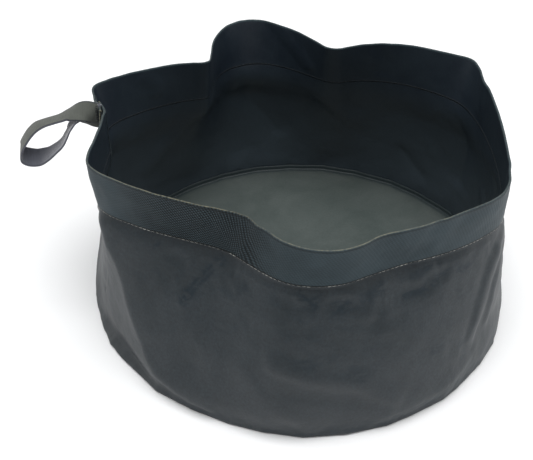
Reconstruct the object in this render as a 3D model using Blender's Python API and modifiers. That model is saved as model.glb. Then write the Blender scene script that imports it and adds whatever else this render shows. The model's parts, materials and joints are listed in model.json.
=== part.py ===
"""Collapsible camp washbasin, modelled in Blender 4.5.

A soft round basin of coated cloth: a floor disc welded into a wall panel, a side seam sealed
with tape, a stiff doubled hem round the mouth and a hanging loop of woven tape at the seam.
The mouth isn't round: it dips in and bulges out as slack cloth does, and the hem line and the
wall below it follow more gently, down to the round floor.

Units are metres and +Z is up. The origin is the middle of the floor's underside. The side seam
with its loop is near -X, where the mouth turns in beside one of its corners.
"""

import math
from collections.abc import Callable

import bmesh
import bpy
from mathutils import Matrix, Vector

COLLECTION = "camp_washbasin"
MERGE = 0.0001

# Basin
BASIN_RADIUS = 0.150
RIM_HEIGHT = 0.144
AROUND = 80

# Cloth
CLOTH = 0.0010
GAP = 0.0003

# Floor
FLOOR_THICKNESS = 0.0012
FLOOR_EDGE_HEIGHT = 0.0032
FLOOR_EDGE_THICKNESS = 0.0010
TUCK_DEPTH = 0.0016
TUCK_HEIGHT = 0.008
STRAIGHT_TOP = 0.004

# Hem
HEM_HEIGHT = 0.036
HEM_LIP = 0.0016
FLAP_THICKNESS = 0.0011
FOLD_RISE = 0.0008

# Side seam, and the tape that seals it
SEAM_ANGLE = 173.0
TAPE_WIDTH = 0.016
TAPE_THICKNESS = 0.0008

# Hanging loop
LOOP_WIDTH = 0.015
LOOP_THICKNESS = 0.0012
LOOP_REACH = 0.0540
LOOP_DROP_BELOW_RIM = 0.0060
LOOP_CLEARANCE = 0.0009
LOOP_BEND = 0.0015
LOOP_SECTIONS = 44

# Heights that follow from the sizes above
HEM_LINE = RIM_HEIGHT - HEM_HEIGHT
WALL_TOP = HEM_LINE - GAP
WELD_HEIGHT = FLOOR_EDGE_HEIGHT + GAP
FLOOR_RADIUS = BASIN_RADIUS - TUCK_DEPTH - CLOTH - GAP

# Angle in degrees and radius as a share of the basin's radius, round the mouth
RIM_SHARES = (
    (-176, 0.94), (-168, 0.965), (-160, 1.00), (-150, 0.92), (-138, 0.82), (-125, 0.75),
    (-113, 0.71), (-103, 0.76), (-92, 0.86), (-83, 0.89), (-76, 0.88), (-68, 0.845),
    (-58, 0.855), (-44, 0.885), (-30, 0.95), (-22, 0.94), (-10, 0.90), (2, 0.89),
    (14, 0.91), (24, 0.95), (31, 0.99), (37, 1.045), (46, 0.99), (57, 0.93),
    (69, 0.83), (80, 0.73), (87, 0.79), (96, 0.93), (104, 1.045), (112, 1.06),
    (120, 0.95), (126, 0.86), (132, 0.78), (141, 0.84), (151, 0.94), (158, 1.02),
    (165, 1.07), (172, 0.98), (178, 0.94),
)

# The same round the hem line, where the cloth wall meets the hem
HEM_LINE_SHARES = (
    (-176, 0.945), (-168, 0.96), (-159, 0.96), (-150, 0.87), (-138, 0.765), (-126, 0.70),
    (-116, 0.69), (-106, 0.735), (-94, 0.81), (-83, 0.825), (-75, 0.81), (-66, 0.79),
    (-56, 0.79), (-44, 0.835), (-33, 0.89), (-24, 0.93), (-12, 0.915), (0, 0.905),
    (14, 0.92), (26, 0.955), (37, 0.99), (48, 0.965), (60, 0.92), (71, 0.86),
    (80, 0.80), (88, 0.84), (97, 0.93), (105, 1.00), (113, 1.00), (121, 0.93),
    (131, 0.83), (141, 0.87), (152, 0.95), (163, 1.02), (171, 0.975), (178, 0.945),
)

# The same low on the wall, just above the weld to the floor
FOOT_SHARES = (
    (-178, 1.045), (-162, 1.045), (-148, 1.045), (-134, 1.035), (-118, 1.010), (-104, 1.022),
    (-92, 1.040), (-78, 1.015), (-66, 1.030), (-50, 1.020), (-34, 1.010), (-16, 1.005),
    (4, 0.995), (30, 1.000), (58, 1.010), (90, 1.005), (122, 1.015), (154, 1.030),
)

# How far the wall bulges between foot and hem line, as a share of the basin's radius
BULGE_SHARES = (
    (-178, 0.012), (-150, 0.030), (-120, 0.035), (-90, 0.040), (-60, 0.036), (-30, 0.020),
    (0, 0.008), (45, 0.020), (90, 0.034), (135, 0.028),
)

# Rows of the wall panel between its tuck and its straight top, as shares of the way up
WALL_ROW_SHARES = (0.0, 0.31, 0.65, 1.0)

# Rows of the hem as shares of its height above the hem line
HEM_ROW_SHARES = (0.34, 0.68)

# The loop's middle line: outward, rise and sideways as shares of its reach, and the turn of
# the tape's width from level to upright, in degrees
LOOP_ROUTE_SHARES = (
    (0.000, 0.000, -0.014, 90.0), (0.090, 0.000, -0.014, 82.0), (0.240, 0.045, -0.018, 50.0),
    (0.390, 0.055, -0.018, 16.0), (0.530, 0.010, -0.015, 2.0), (0.660, -0.020, -0.010, 0.0),
    (0.790, -0.070, 0.000, 0.0), (0.900, -0.140, 0.000, -2.0), (0.980, -0.240, 0.000, -4.0),
    (1.000, -0.365, 0.000, -8.0), (0.950, -0.490, 0.000, -14.0), (0.850, -0.540, 0.000, -16.0),
    (0.730, -0.535, 0.005, -8.0), (0.620, -0.490, 0.010, 0.0), (0.510, -0.410, 0.018, 0.0),
    (0.410, -0.305, 0.025, -8.0), (0.325, -0.195, 0.030, -26.0), (0.235, -0.115, 0.030, -54.0),
    (0.090, -0.085, 0.014, -82.0), (0.000, -0.085, 0.014, -90.0),
)


def smooth_ring(shares: tuple, angle: float) -> float:
    """Read a table of (angle, share) at an angle in degrees, on a smooth closed curve."""
    count = len(shares)
    first = shares[0][0]
    turn = (angle - first) % 360.0 + first
    index = max(i for i in range(count) if shares[i][0] <= turn)

    def entry(number: int) -> tuple[float, float]:
        laps, place = divmod(number, count)
        return shares[place][0] + 360.0 * laps, shares[place][1]

    (a0, s0), (a1, s1), (a2, s2), (a3, s3) = (entry(index + k) for k in (-1, 0, 1, 2))
    span = a2 - a1
    along = (turn - a1) / span
    slope_1 = (s2 - s0) / (a2 - a0) * span
    slope_2 = (s3 - s1) / (a3 - a1) * span
    cube, square = along**3, along**2
    return (
        (2 * cube - 3 * square + 1) * s1
        + (cube - 2 * square + along) * slope_1
        + (3 * square - 2 * cube) * s2
        + (cube - square) * slope_2
    )


def smooth_route(points: tuple, along: float) -> tuple:
    """Read a list of points on a smooth open curve, along from 0 at its start to 1 at its end."""
    last = len(points) - 1
    place = min(along * last, last - 1e-9)
    index = int(place)
    part = place - index
    before, start, end, after = (points[min(max(index + k, 0), last)] for k in (-1, 0, 1, 2))
    return tuple(
        0.5 * (2 * p1 + (p2 - p0) * part + (2 * p0 - 5 * p1 + 4 * p2 - p3) * part**2
               + (3 * p1 - p0 - 3 * p2 + p3) * part**3)
        for p0, p1, p2, p3 in zip(before, start, end, after)
    )


def wall_radius(angle: float, height: float) -> float:
    """Radius of the middle of the wall cloth at an angle in degrees and a height."""
    weld = FLOOR_RADIUS + GAP + CLOTH / 2
    foot = BASIN_RADIUS * smooth_ring(FOOT_SHARES, angle) - CLOTH / 2
    top = BASIN_RADIUS * smooth_ring(HEM_LINE_SHARES, angle) - CLOTH / 2
    up = min(height / (WALL_TOP - STRAIGHT_TOP), 1.0)
    bulge = BASIN_RADIUS * smooth_ring(BULGE_SHARES, angle) * math.sin(math.pi * up)
    free = foot + (top - foot) * up + bulge
    tuck = min(max((height - WELD_HEIGHT) / (TUCK_HEIGHT - WELD_HEIGHT), 0.0), 1.0)
    return weld + (free - weld) * math.sin(math.pi / 2 * tuck)


def hem_radius(angle: float, height: float) -> float:
    """Radius of the middle of the hem's inner cloth at an angle in degrees and a height."""
    low = BASIN_RADIUS * smooth_ring(HEM_LINE_SHARES, angle) - CLOTH / 2
    high = BASIN_RADIUS * smooth_ring(RIM_SHARES, angle) - CLOTH / 2
    return low + (high - low) * max((height - HEM_LINE) / HEM_HEIGHT, 0.0)


def ring(radius_at: Callable[[float, float], float], height: float, outward: float = 0.0) -> list[Vector]:
    """Points round the basin at one height, from the seam on, on a radius that may change."""
    points = []
    for step in range(AROUND):
        angle = SEAM_ANGLE + 360.0 * step / AROUND
        radius = radius_at(angle, height) + outward
        points.append(Matrix.Rotation(math.radians(angle), 3, "Z") @ Vector((radius, 0.0, height)))
    return points


def loft(rows: list[list[Vector]], closed_rows: bool, closed_stack: bool, capped: bool) -> bmesh.types.BMesh:
    """Join rows of points by quads: each row may close on itself, and the last row on the first."""
    bm = bmesh.new()
    grid = [[bm.verts.new(point) for point in row] for row in rows]
    columns = len(grid[0])
    for index in range(len(grid) if closed_stack else len(grid) - 1):
        low, high = grid[index], grid[(index + 1) % len(grid)]
        for column in range(columns if closed_rows else columns - 1):
            after = (column + 1) % columns
            bm.faces.new((low[column], low[after], high[after], high[column]))
    if capped:
        bm.faces.new(grid[0])
        bm.faces.new(grid[-1])
    bmesh.ops.recalc_face_normals(bm, faces=bm.faces)
    return bm


def material(name: str, colour: tuple[float, float, float], roughness: float) -> bpy.types.Material:
    """A plain finish of one colour."""
    made = bpy.data.materials.new(name)
    made.use_nodes = True
    shader = made.node_tree.nodes["Principled BSDF"]
    shader.inputs["Base Color"].default_value = (*colour, 1.0)
    shader.inputs["Roughness"].default_value = roughness
    shader.inputs["Metallic"].default_value = 0.0
    return made


def add_object(
    name: str,
    bm: bmesh.types.BMesh,
    finish: bpy.types.Material,
    parent: bpy.types.Object | None = None,
) -> bpy.types.Object:
    """Turn a bmesh into a named object in the basin's collection, smooth shaded."""
    mesh = bpy.data.meshes.new(name)
    bm.to_mesh(mesh)
    bm.free()
    mesh.materials.append(finish)
    mesh.shade_smooth()
    made = bpy.data.objects.new(name, mesh)
    bpy.data.collections[COLLECTION].objects.link(made)
    if parent:
        made.parent = parent
        made.matrix_parent_inverse = parent.matrix_world.inverted()
    return made


def add_thickness(made: bpy.types.Object, thickness: float) -> None:
    """Give a sheet its thickness, half to each side of the surface it was drawn on."""
    shell = made.modifiers.new("Cloth thickness", "SOLIDIFY")
    shell.thickness = thickness
    shell.offset = 0.0
    shell.use_even_offset = True


def wall_heights() -> list[float]:
    """Heights of the rows of the wall panel, from the weld at the floor to under the hem."""
    straight = WALL_TOP - STRAIGHT_TOP
    free = [TUCK_HEIGHT + (straight - TUCK_HEIGHT) * share for share in WALL_ROW_SHARES]
    return [0.0, WELD_HEIGHT, *free, WALL_TOP]


def seam_strip(rows: list[list[Vector]], inward: float) -> list[list[Vector]]:
    """Points of a narrow strip down the side seam, a set way inside the rings it lies on."""
    strip = []
    for index, points in enumerate(rows):
        seam = points[0]
        below, above = rows[max(index - 1, 0)][0], rows[min(index + 1, len(rows) - 1)][0]
        ways = [way.normalized() for way in (seam - below, above - seam) if way.length]
        up = (ways[0] + ways[-1]) / 2
        shift = up.cross(points[1] - points[-1]).normalized() * inward / up.length
        edges = [seam.lerp(end, TAPE_WIDTH / 2 / (end - seam).length) for end in (points[-1], points[1])]
        strip.append([edges[0] + shift, seam + shift, edges[1] + shift])
    return strip


def build_floor(finish: bpy.types.Material) -> None:
    """The floor: a round disc with a low turned-up edge that the wall is welded to."""
    inner = FLOOR_RADIUS - FLOOR_EDGE_THICKNESS
    profile = (
        (0.0, FLOOR_THICKNESS), (inner, FLOOR_THICKNESS), (inner, FLOOR_EDGE_HEIGHT),
        (FLOOR_RADIUS, FLOOR_EDGE_HEIGHT), (FLOOR_RADIUS, 0.0), (0.0, 0.0),
    )
    bm = bmesh.new()
    corners = [bm.verts.new((radius, 0.0, height)) for radius, height in profile]
    for start, end in zip(corners, corners[1:]):
        bm.edges.new((start, end))
    disc = add_object("floor_disc", bm, finish)
    disc.rotation_euler.z = math.radians(SEAM_ANGLE)
    turn = disc.modifiers.new("Round", "SCREW")
    turn.steps = AROUND
    turn.render_steps = AROUND
    turn.use_merge_vertices = True
    turn.merge_threshold = MERGE


def build_wall(finish: bpy.types.Material) -> None:
    """The wall: one panel of cloth from the weld round the floor up to the hem."""
    rows = [ring(wall_radius, height) for height in wall_heights()]
    wall = add_object("wall_panel", loft(rows, True, False, False), finish)
    add_thickness(wall, CLOTH)


def build_wall_tape(finish: bpy.types.Material) -> None:
    """The tape that seals the side seam inside the wall, from the floor's edge to the hem."""
    inward = CLOTH / 2 + GAP + TAPE_THICKNESS / 2
    weld, *rows = [ring(wall_radius, height) for height in wall_heights()[1:]]
    start = (TAPE_THICKNESS + GAP) / (TUCK_HEIGHT - WELD_HEIGHT)
    foot = [low.lerp(high, start) for low, high in zip(weld, rows[0])]
    bm = loft(seam_strip([foot, *rows], inward), False, False, False)
    tape = add_object("side_seam_tape", bm, finish)
    add_thickness(tape, TAPE_THICKNESS)


def build_hem(finish: bpy.types.Material, carrier: bpy.types.Object) -> None:
    """The hem: the wall's cloth, folded out over itself and stitched down along the hem line."""
    inside = -CLOTH / 2
    slot = CLOTH / 2 + GAP
    outside = slot + FLAP_THICKNESS
    fold = RIM_HEIGHT - FOLD_RISE
    levels = [HEM_LINE + HEM_HEIGHT * share for share in HEM_ROW_SHARES]
    section = [(inside, HEM_LINE)]
    section += [(inside, level) for level in levels]
    section += [(inside, fold), ((inside + outside) / 2, RIM_HEIGHT), (outside, fold)]
    section += [(outside, level) for level in reversed(levels)]
    section += [(outside, HEM_LINE - HEM_LIP), (slot, HEM_LINE - HEM_LIP), (slot, HEM_LINE)]
    rows = [ring(hem_radius, height, outward) for outward, height in section]
    add_object("rim_hem", loft(rows, True, True, False), finish, carrier)


def build_hem_tape(finish: bpy.types.Material, carrier: bpy.types.Object) -> None:
    """The upper end of the seam tape, inside the hem."""
    inward = CLOTH / 2 + GAP + TAPE_THICKNESS / 2
    heights = [HEM_LINE + GAP, HEM_LINE + HEM_HEIGHT / 2, RIM_HEIGHT - FOLD_RISE - GAP]
    rows = [ring(hem_radius, height) for height in heights]
    bm = loft(seam_strip(rows, inward), False, False, False)
    add_thickness(add_object("rim_seam_tape", bm, finish, carrier), TAPE_THICKNESS)


def loop_rows(outward: Vector) -> list[list[Vector]]:
    """Sections of the hanging loop's tape along its route, measured from its sewn root."""
    upward = Vector((0.0, 0.0, 1.0))
    sideways = outward.cross(upward)
    steps = [step / (LOOP_SECTIONS - 1) for step in range(LOOP_SECTIONS)]
    route = [smooth_route(LOOP_ROUTE_SHARES, step) for step in steps]
    middle = [LOOP_REACH * (out * outward + rise * upward + side * sideways) for out, rise, side, _ in route]
    rows = []
    for index, (place, (_, _, _, turn)) in enumerate(zip(middle, route)):
        along = middle[min(index + 1, LOOP_SECTIONS - 1)] - middle[max(index - 1, 0)]
        level = (sideways - sideways.project(along)).normalized()
        upright = level.cross(along).normalized()
        width = level * math.cos(math.radians(turn)) + upright * math.sin(math.radians(turn))
        face = width.cross(along).normalized()
        half_width, half_depth = width * LOOP_WIDTH / 2, face * LOOP_THICKNESS / 2
        rows.append([place - half_width - half_depth, place + half_width - half_depth,
                     place + half_width + half_depth, place - half_width + half_depth])
    return rows


def build_loop(finish: bpy.types.Material, carrier: bpy.types.Object) -> None:
    """The hanging loop: one length of tape, folded, with both ends sewn in at the side seam."""
    root_height = RIM_HEIGHT - LOOP_DROP_BELOW_RIM
    face = CLOTH / 2 + GAP + FLAP_THICKNESS
    hem = [ring(hem_radius, height, face) for height in (HEM_LINE, root_height, RIM_HEIGHT)]
    along_hem = hem[1][1] - hem[1][-1]
    outward = along_hem.cross(Vector((0.0, 0.0, 1.0))).normalized()
    seat = max(points[0].dot(outward) for points in hem)
    bend = hem[1][0] + outward * (seat + LOOP_CLEARANCE + LOOP_BEND - hem[1][0].dot(outward))
    hinge = add_empty("loop_hinge", bend, carrier)
    rows = [[point - outward * LOOP_BEND for point in row] for row in loop_rows(outward)]
    loop = add_object("hanging_loop", loft(rows, True, False, True), finish)
    loop.parent = hinge


def add_empty(name: str, place: Vector, parent: bpy.types.Object | None = None) -> bpy.types.Object:
    """An empty that carries moving pieces, at the place of their joint."""
    empty = bpy.data.objects.new(name, None)
    empty.location = place
    bpy.data.collections[COLLECTION].objects.link(empty)
    if parent:
        bpy.context.view_layer.update()
        empty.parent = parent
        empty.matrix_parent_inverse = parent.matrix_world.inverted()
    bpy.context.view_layer.update()
    return empty


def main() -> None:
    """Clear the scene and build the basin."""
    for old in list(bpy.data.objects):
        bpy.data.objects.remove(old, do_unlink=True)
    collection = bpy.data.collections.new(COLLECTION)
    bpy.context.scene.collection.children.link(collection)

    coated = material("coated_cloth", (0.052, 0.060, 0.064), 0.45)
    floor = material("coated_floor_cloth", (0.046, 0.055, 0.055), 0.35)
    woven = material("hem_cloth", (0.045, 0.052, 0.057), 0.70)
    tape = material("seam_tape", (0.030, 0.034, 0.038), 0.40)
    webbing = material("loop_tape", (0.130, 0.135, 0.128), 0.80)

    build_floor(floor)
    build_wall(coated)
    build_wall_tape(tape)

    rim = add_empty("rim_slide", Vector((0.0, 0.0, HEM_LINE)))
    build_hem(woven, rim)
    build_hem_tape(tape, rim)

    build_loop(webbing, rim)


main()
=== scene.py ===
"""Looks of the collapsible camp washbasin, built in Blender 4.5 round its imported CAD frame.

The basin is all cloth. One strip, satin coated outside, makes the wall and is folded out over
itself round the mouth, where its woven back shows as the hem. A floor disc is welded in below,
film tape seals the side seam inside, and a loop of woven tape is sewn in at that seam.

Units are metres, +Z is up, and every piece is modelled in the frame's own place. Plan angles are
in degrees from +X, and the side seam is near -X.
"""

import json
import logging
import math
from collections.abc import Callable
from dataclasses import dataclass, field
from enum import Enum
from typing import Any

import bmesh
import bpy
import numpy as np
from mathutils import Matrix, Vector, noise


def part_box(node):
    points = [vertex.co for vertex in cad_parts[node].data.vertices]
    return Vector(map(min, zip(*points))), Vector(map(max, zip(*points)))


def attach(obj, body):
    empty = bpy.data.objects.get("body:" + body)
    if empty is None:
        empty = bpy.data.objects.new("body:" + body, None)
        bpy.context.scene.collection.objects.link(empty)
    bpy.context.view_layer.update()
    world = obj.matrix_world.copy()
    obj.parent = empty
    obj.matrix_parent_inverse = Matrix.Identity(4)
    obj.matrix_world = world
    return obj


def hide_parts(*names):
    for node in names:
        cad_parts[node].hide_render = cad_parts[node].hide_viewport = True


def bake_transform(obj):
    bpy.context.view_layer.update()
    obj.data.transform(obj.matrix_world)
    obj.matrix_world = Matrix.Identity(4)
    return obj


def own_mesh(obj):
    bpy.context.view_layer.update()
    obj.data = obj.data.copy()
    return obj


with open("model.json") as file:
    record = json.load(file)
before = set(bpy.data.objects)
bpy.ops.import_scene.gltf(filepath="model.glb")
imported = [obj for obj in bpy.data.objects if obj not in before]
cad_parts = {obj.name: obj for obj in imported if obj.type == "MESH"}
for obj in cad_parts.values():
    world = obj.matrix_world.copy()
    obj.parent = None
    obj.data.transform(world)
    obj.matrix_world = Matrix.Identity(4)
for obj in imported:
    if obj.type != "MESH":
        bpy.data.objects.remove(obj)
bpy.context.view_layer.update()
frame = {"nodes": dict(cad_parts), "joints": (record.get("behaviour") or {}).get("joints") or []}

LOG = logging.getLogger("washbasin")

MM = 0.001
MERGE = 0.02 * MM
SEAM_ANGLE = 173.0
BASIN_RADIUS = 150 * MM
FULL_TURN = 360.0
CLOTH = 0.6 * MM
UPWARD = Vector((0.0, 0.0, 1.0))

# The distance from band to band of a wave texture at a scale of 1
WAVE_LENGTH = 2 * math.pi / 20

# Where the CAD model's levels lie, read from its nodes
WALL_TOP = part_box("wall_panel")[1].z
HEM_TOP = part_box("rim_hem")[1].z
FLAP_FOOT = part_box("rim_hem")[0].z
FLOOR_EDGE_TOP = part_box("floor_disc")[1].z


def linear(code: str) -> tuple[float, float, float, float]:
    """Turn an sRGB hex colour into the linear colour that a shader takes.

    Args:
        code: Six hex digits, red first.

    Returns:
        The linear colour with full alpha.
    """
    shares = [int(code[place:place + 2], 16) / 255 for place in (0, 2, 4)]
    steps = [share / 12.92 if share <= 0.04045 else ((share + 0.055) / 1.055) ** 2.4 for share in shares]
    return (*steps, 1.0)


def smooth(places: np.ndarray, values: np.ndarray, at: np.ndarray, level: bool = False) -> np.ndarray:
    """Read a smooth curve through given points.

    Args:
        places: Where the points lie, rising.
        values: The value at each point, one row for each when there are several.
        at: Where to read, one place for each column of values.
        level: Whether the curve may never pass beyond the points beside it.

    Returns:
        The value at each place that was asked for.
    """
    slopes = np.gradient(values, places, axis=0)
    if level:
        steps = np.diff(values, axis=0) / np.diff(places).reshape(-1, *[1] * (values.ndim - 1))
        least = np.minimum(np.abs(steps[:-1]), np.abs(steps[1:]))
        turning = steps[:-1] * steps[1:] <= 0
        gentle = np.minimum(np.abs(slopes[1:-1]), 2 * least)
        slopes[1:-1] = np.where(turning, 0.0, np.sign(steps[1:]) * gentle)
    index = np.clip(np.searchsorted(places, at) - 1, 0, len(places) - 2)
    column = (index, np.arange(len(at))) if values.ndim > 1 else (index,)
    after = (index + 1, *column[1:])
    span = places[index + 1] - places[index]
    part = np.clip((at - places[index]) / span, 0.0, 1.0)
    cube, square = part**3, part**2
    return (
        (2 * cube - 3 * square + 1) * values[column]
        + (cube - 2 * square + part) * span * slopes[column]
        + (3 * square - 2 * cube) * values[after]
        + (cube - square) * span * slopes[after]
    )


def ramp(low: float, high: float, at: np.ndarray) -> np.ndarray:
    """Rise smoothly from 0 at low to 1 at high; high may lie below low."""
    part = np.clip((at - low) / (high - low), 0.0, 1.0)
    return part * part * (3 - 2 * part)


def within(band: tuple[float, float, float, float], at: np.ndarray) -> np.ndarray:
    """Rise smoothly between a band's first two places, and fall between its last two."""
    start, full, last, end = band
    return ramp(start, full, at) * ramp(end, last, at)


def wrapped(angles: np.ndarray, about: float) -> np.ndarray:
    """Bring angles in degrees to within half a turn of another."""
    return (angles - about + FULL_TURN / 2) % FULL_TURN - FULL_TURN / 2 + about


def around_table(table: tuple[tuple[float, float], ...], angles: np.ndarray) -> np.ndarray:
    """Read a table of plan angles and values, which goes once round the basin."""
    places, values = np.array(table).T
    return smooth(places, values, wrapped(angles, 0.0), level=True)


class Skin(Enum):
    """Which face of a CAD shell is read."""

    OUTER = "outer"
    INNER = "inner"


class Outline:
    """A smooth closed line round the basin at one height, as a radius for each plan angle."""

    def __init__(self, points: np.ndarray) -> None:
        """Sort the line's points round the basin.

        Args:
            points: Points on the line, in any order.
        """
        angles = np.degrees(np.arctan2(points[:, 1], points[:, 0]))
        order = np.argsort(angles)
        angles, radii = angles[order], np.hypot(points[order, 0], points[order, 1])
        self.height = float(points[:, 2].mean())
        self._angles = np.concatenate((angles[-3:] - FULL_TURN, angles, angles[:3] + FULL_TURN))
        self._radii = np.concatenate((radii[-3:], radii, radii[:3]))

    def radius(self, angles: np.ndarray) -> np.ndarray:
        """Radius at each plan angle."""
        return smooth(self._angles, self._radii, wrapped(angles, 0.0))


def read_outlines(node: str, skin: Skin) -> list[Outline]:
    """Read the rings of a CAD shell that goes round the basin.

    Args:
        node: The CAD node.
        skin: Which of its faces to read.

    Returns:
        One outline for each level of the node's rings, lowest first.
    """
    bm = bmesh.new()
    bm.from_mesh(frame["nodes"][node].data)
    bmesh.ops.remove_doubles(bm, verts=bm.verts, dist=MERGE)
    points = np.array([vert.co for vert in bm.verts])
    bm.free()
    points = points[np.argsort(points[:, 2])]
    level_gap = 0.6 * MM
    columns = 80
    outlines = []
    for ring in np.split(points, np.nonzero(np.diff(points[:, 2]) > level_gap)[0] + 1):
        turn = np.degrees(np.arctan2(ring[:, 1], ring[:, 0])) - SEAM_ANGLE
        column = np.round(turn / FULL_TURN * columns).astype(int) % columns
        radii = np.hypot(ring[:, 0], ring[:, 1]) * (1 if skin is Skin.OUTER else -1)
        picks = [
            max(np.nonzero(column == place)[0], key=lambda item: radii[item]) for place in range(columns)
        ]
        outlines.append(Outline(ring[picks]))
    return outlines


class Spacing:
    """Even steps along an outline, so that a weave on it keeps its scale."""

    def __init__(self, outline: Outline) -> None:
        """Measure the outline from the side seam round to the side seam.

        Args:
            outline: The line to measure.
        """
        steps_per_degree = 8
        self._turns = np.linspace(0.0, FULL_TURN, round(FULL_TURN) * steps_per_degree + 1)
        angles = np.radians(self._turns + SEAM_ANGLE)
        radii = outline.radius(self._turns + SEAM_ANGLE)
        steps = np.hypot(np.diff(radii * np.cos(angles)), np.diff(radii * np.sin(angles)))
        self._lengths = np.concatenate(([0.0], np.cumsum(steps)))
        self.around = float(self._lengths[-1])

    def angle(self, length: np.ndarray) -> np.ndarray:
        """Turn a length along the outline into a plan angle.

        Args:
            length: Distance from the side seam, which it may pass.

        Returns:
            The plan angle in degrees.
        """
        laps = np.floor(length / self.around)
        turn = np.interp(length - laps * self.around, self._lengths, self._turns)
        return SEAM_ANGLE + turn + laps * FULL_TURN


class Fold(Enum):
    """The cross-section of a fold in the slack cloth."""

    SHARP = "a straight fall to both sides of a sharp line"
    ROUND = "a rounded rise or hollow"
    STEP = "the cloth to the right of the line lies lower"
    FACET = "a flat facet to the right of a sharp line"


@dataclass(frozen=True)
class Crease:
    """A fold in the cloth, along a line of plan angles in degrees and heights in millimetres.

    The height is how far the cloth stands out along the line. Left and right are how far the
    fold spreads to either side, looking from its first point to its last, edge is how rounded
    its line is, and fade how far from its ends it dies away. All are in millimetres.
    """

    line: tuple[tuple[float, float], ...]
    height: float
    left: float
    right: float
    fold: Fold = Fold.ROUND
    edge: float = 1.2
    fade: float = 12.0

    def lift(self, angles: np.ndarray, heights: np.ndarray) -> np.ndarray:
        """How far the crease moves the cloth outwards at each place.

        Args:
            angles: Plan angles in degrees.
            heights: Heights above the ground.

        Returns:
            The movement of each place, in the height's own unit.
        """
        about = self.line[0][0]
        radius = BASIN_RADIUS / MM
        across, upwards = np.radians(wrapped(angles, about) - about) * radius, heights / MM
        corners = np.array([(math.radians(angle - about) * radius, up) for angle, up in self.line])
        lengths = np.hypot(*np.diff(corners, axis=0).T)
        total = float(lengths.sum())
        nearest = np.full(angles.shape, np.inf)
        side = np.zeros(angles.shape)
        along = np.zeros(angles.shape)
        for index, (start, end) in enumerate(zip(corners, corners[1:])):
            way = (end - start) / lengths[index]
            from_x, from_y = across - start[0], upwards - start[1]
            place = np.clip(from_x * way[0] + from_y * way[1], 0.0, lengths[index])
            gap = np.hypot(from_x - place * way[0], from_y - place * way[1])
            closer = gap < nearest
            nearest = np.where(closer, gap, nearest)
            side = np.where(closer, way[0] * from_y - way[1] * from_x, side)
            along = np.where(closer, lengths[:index].sum() + place, along)
        ends = ramp(0.0, self.fade, along) * ramp(total, total - self.fade, along)
        reach = np.where(side > 0, self.left, self.right)
        part = np.clip(1 - (np.hypot(nearest, self.edge) - self.edge) / reach, 0.0, 1.0)
        if self.fold is Fold.SHARP:
            return self.height * (0.55 * part + 0.45 * part**3) * ends
        if self.fold is Fold.STEP:
            down = np.where(side > 0, 0.0, ramp(0.0, self.edge, nearest))
            return -self.height * down * part * ends
        if self.fold is Fold.FACET:
            return np.where(side > 0, 0.0, self.height * 4 * part * (1 - part)) * ends
        return self.height * part * part * (3 - 2 * part) * ends


# The long crease down the wall's left, which turns along the floor
LEFT_CREASE = (
    (-161.0, 108), (-157.7, 96), (-154.4, 85), (-150.5, 75), (-146.6, 63), (-143.1, 52), (-139.0, 41),
    (-135.8, 33), (-132.9, 25), (-130.0, 19.5), (-126.6, 16), (-122.3, 13.5), (-118.3, 12), (-110.0, 10),
)

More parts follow.
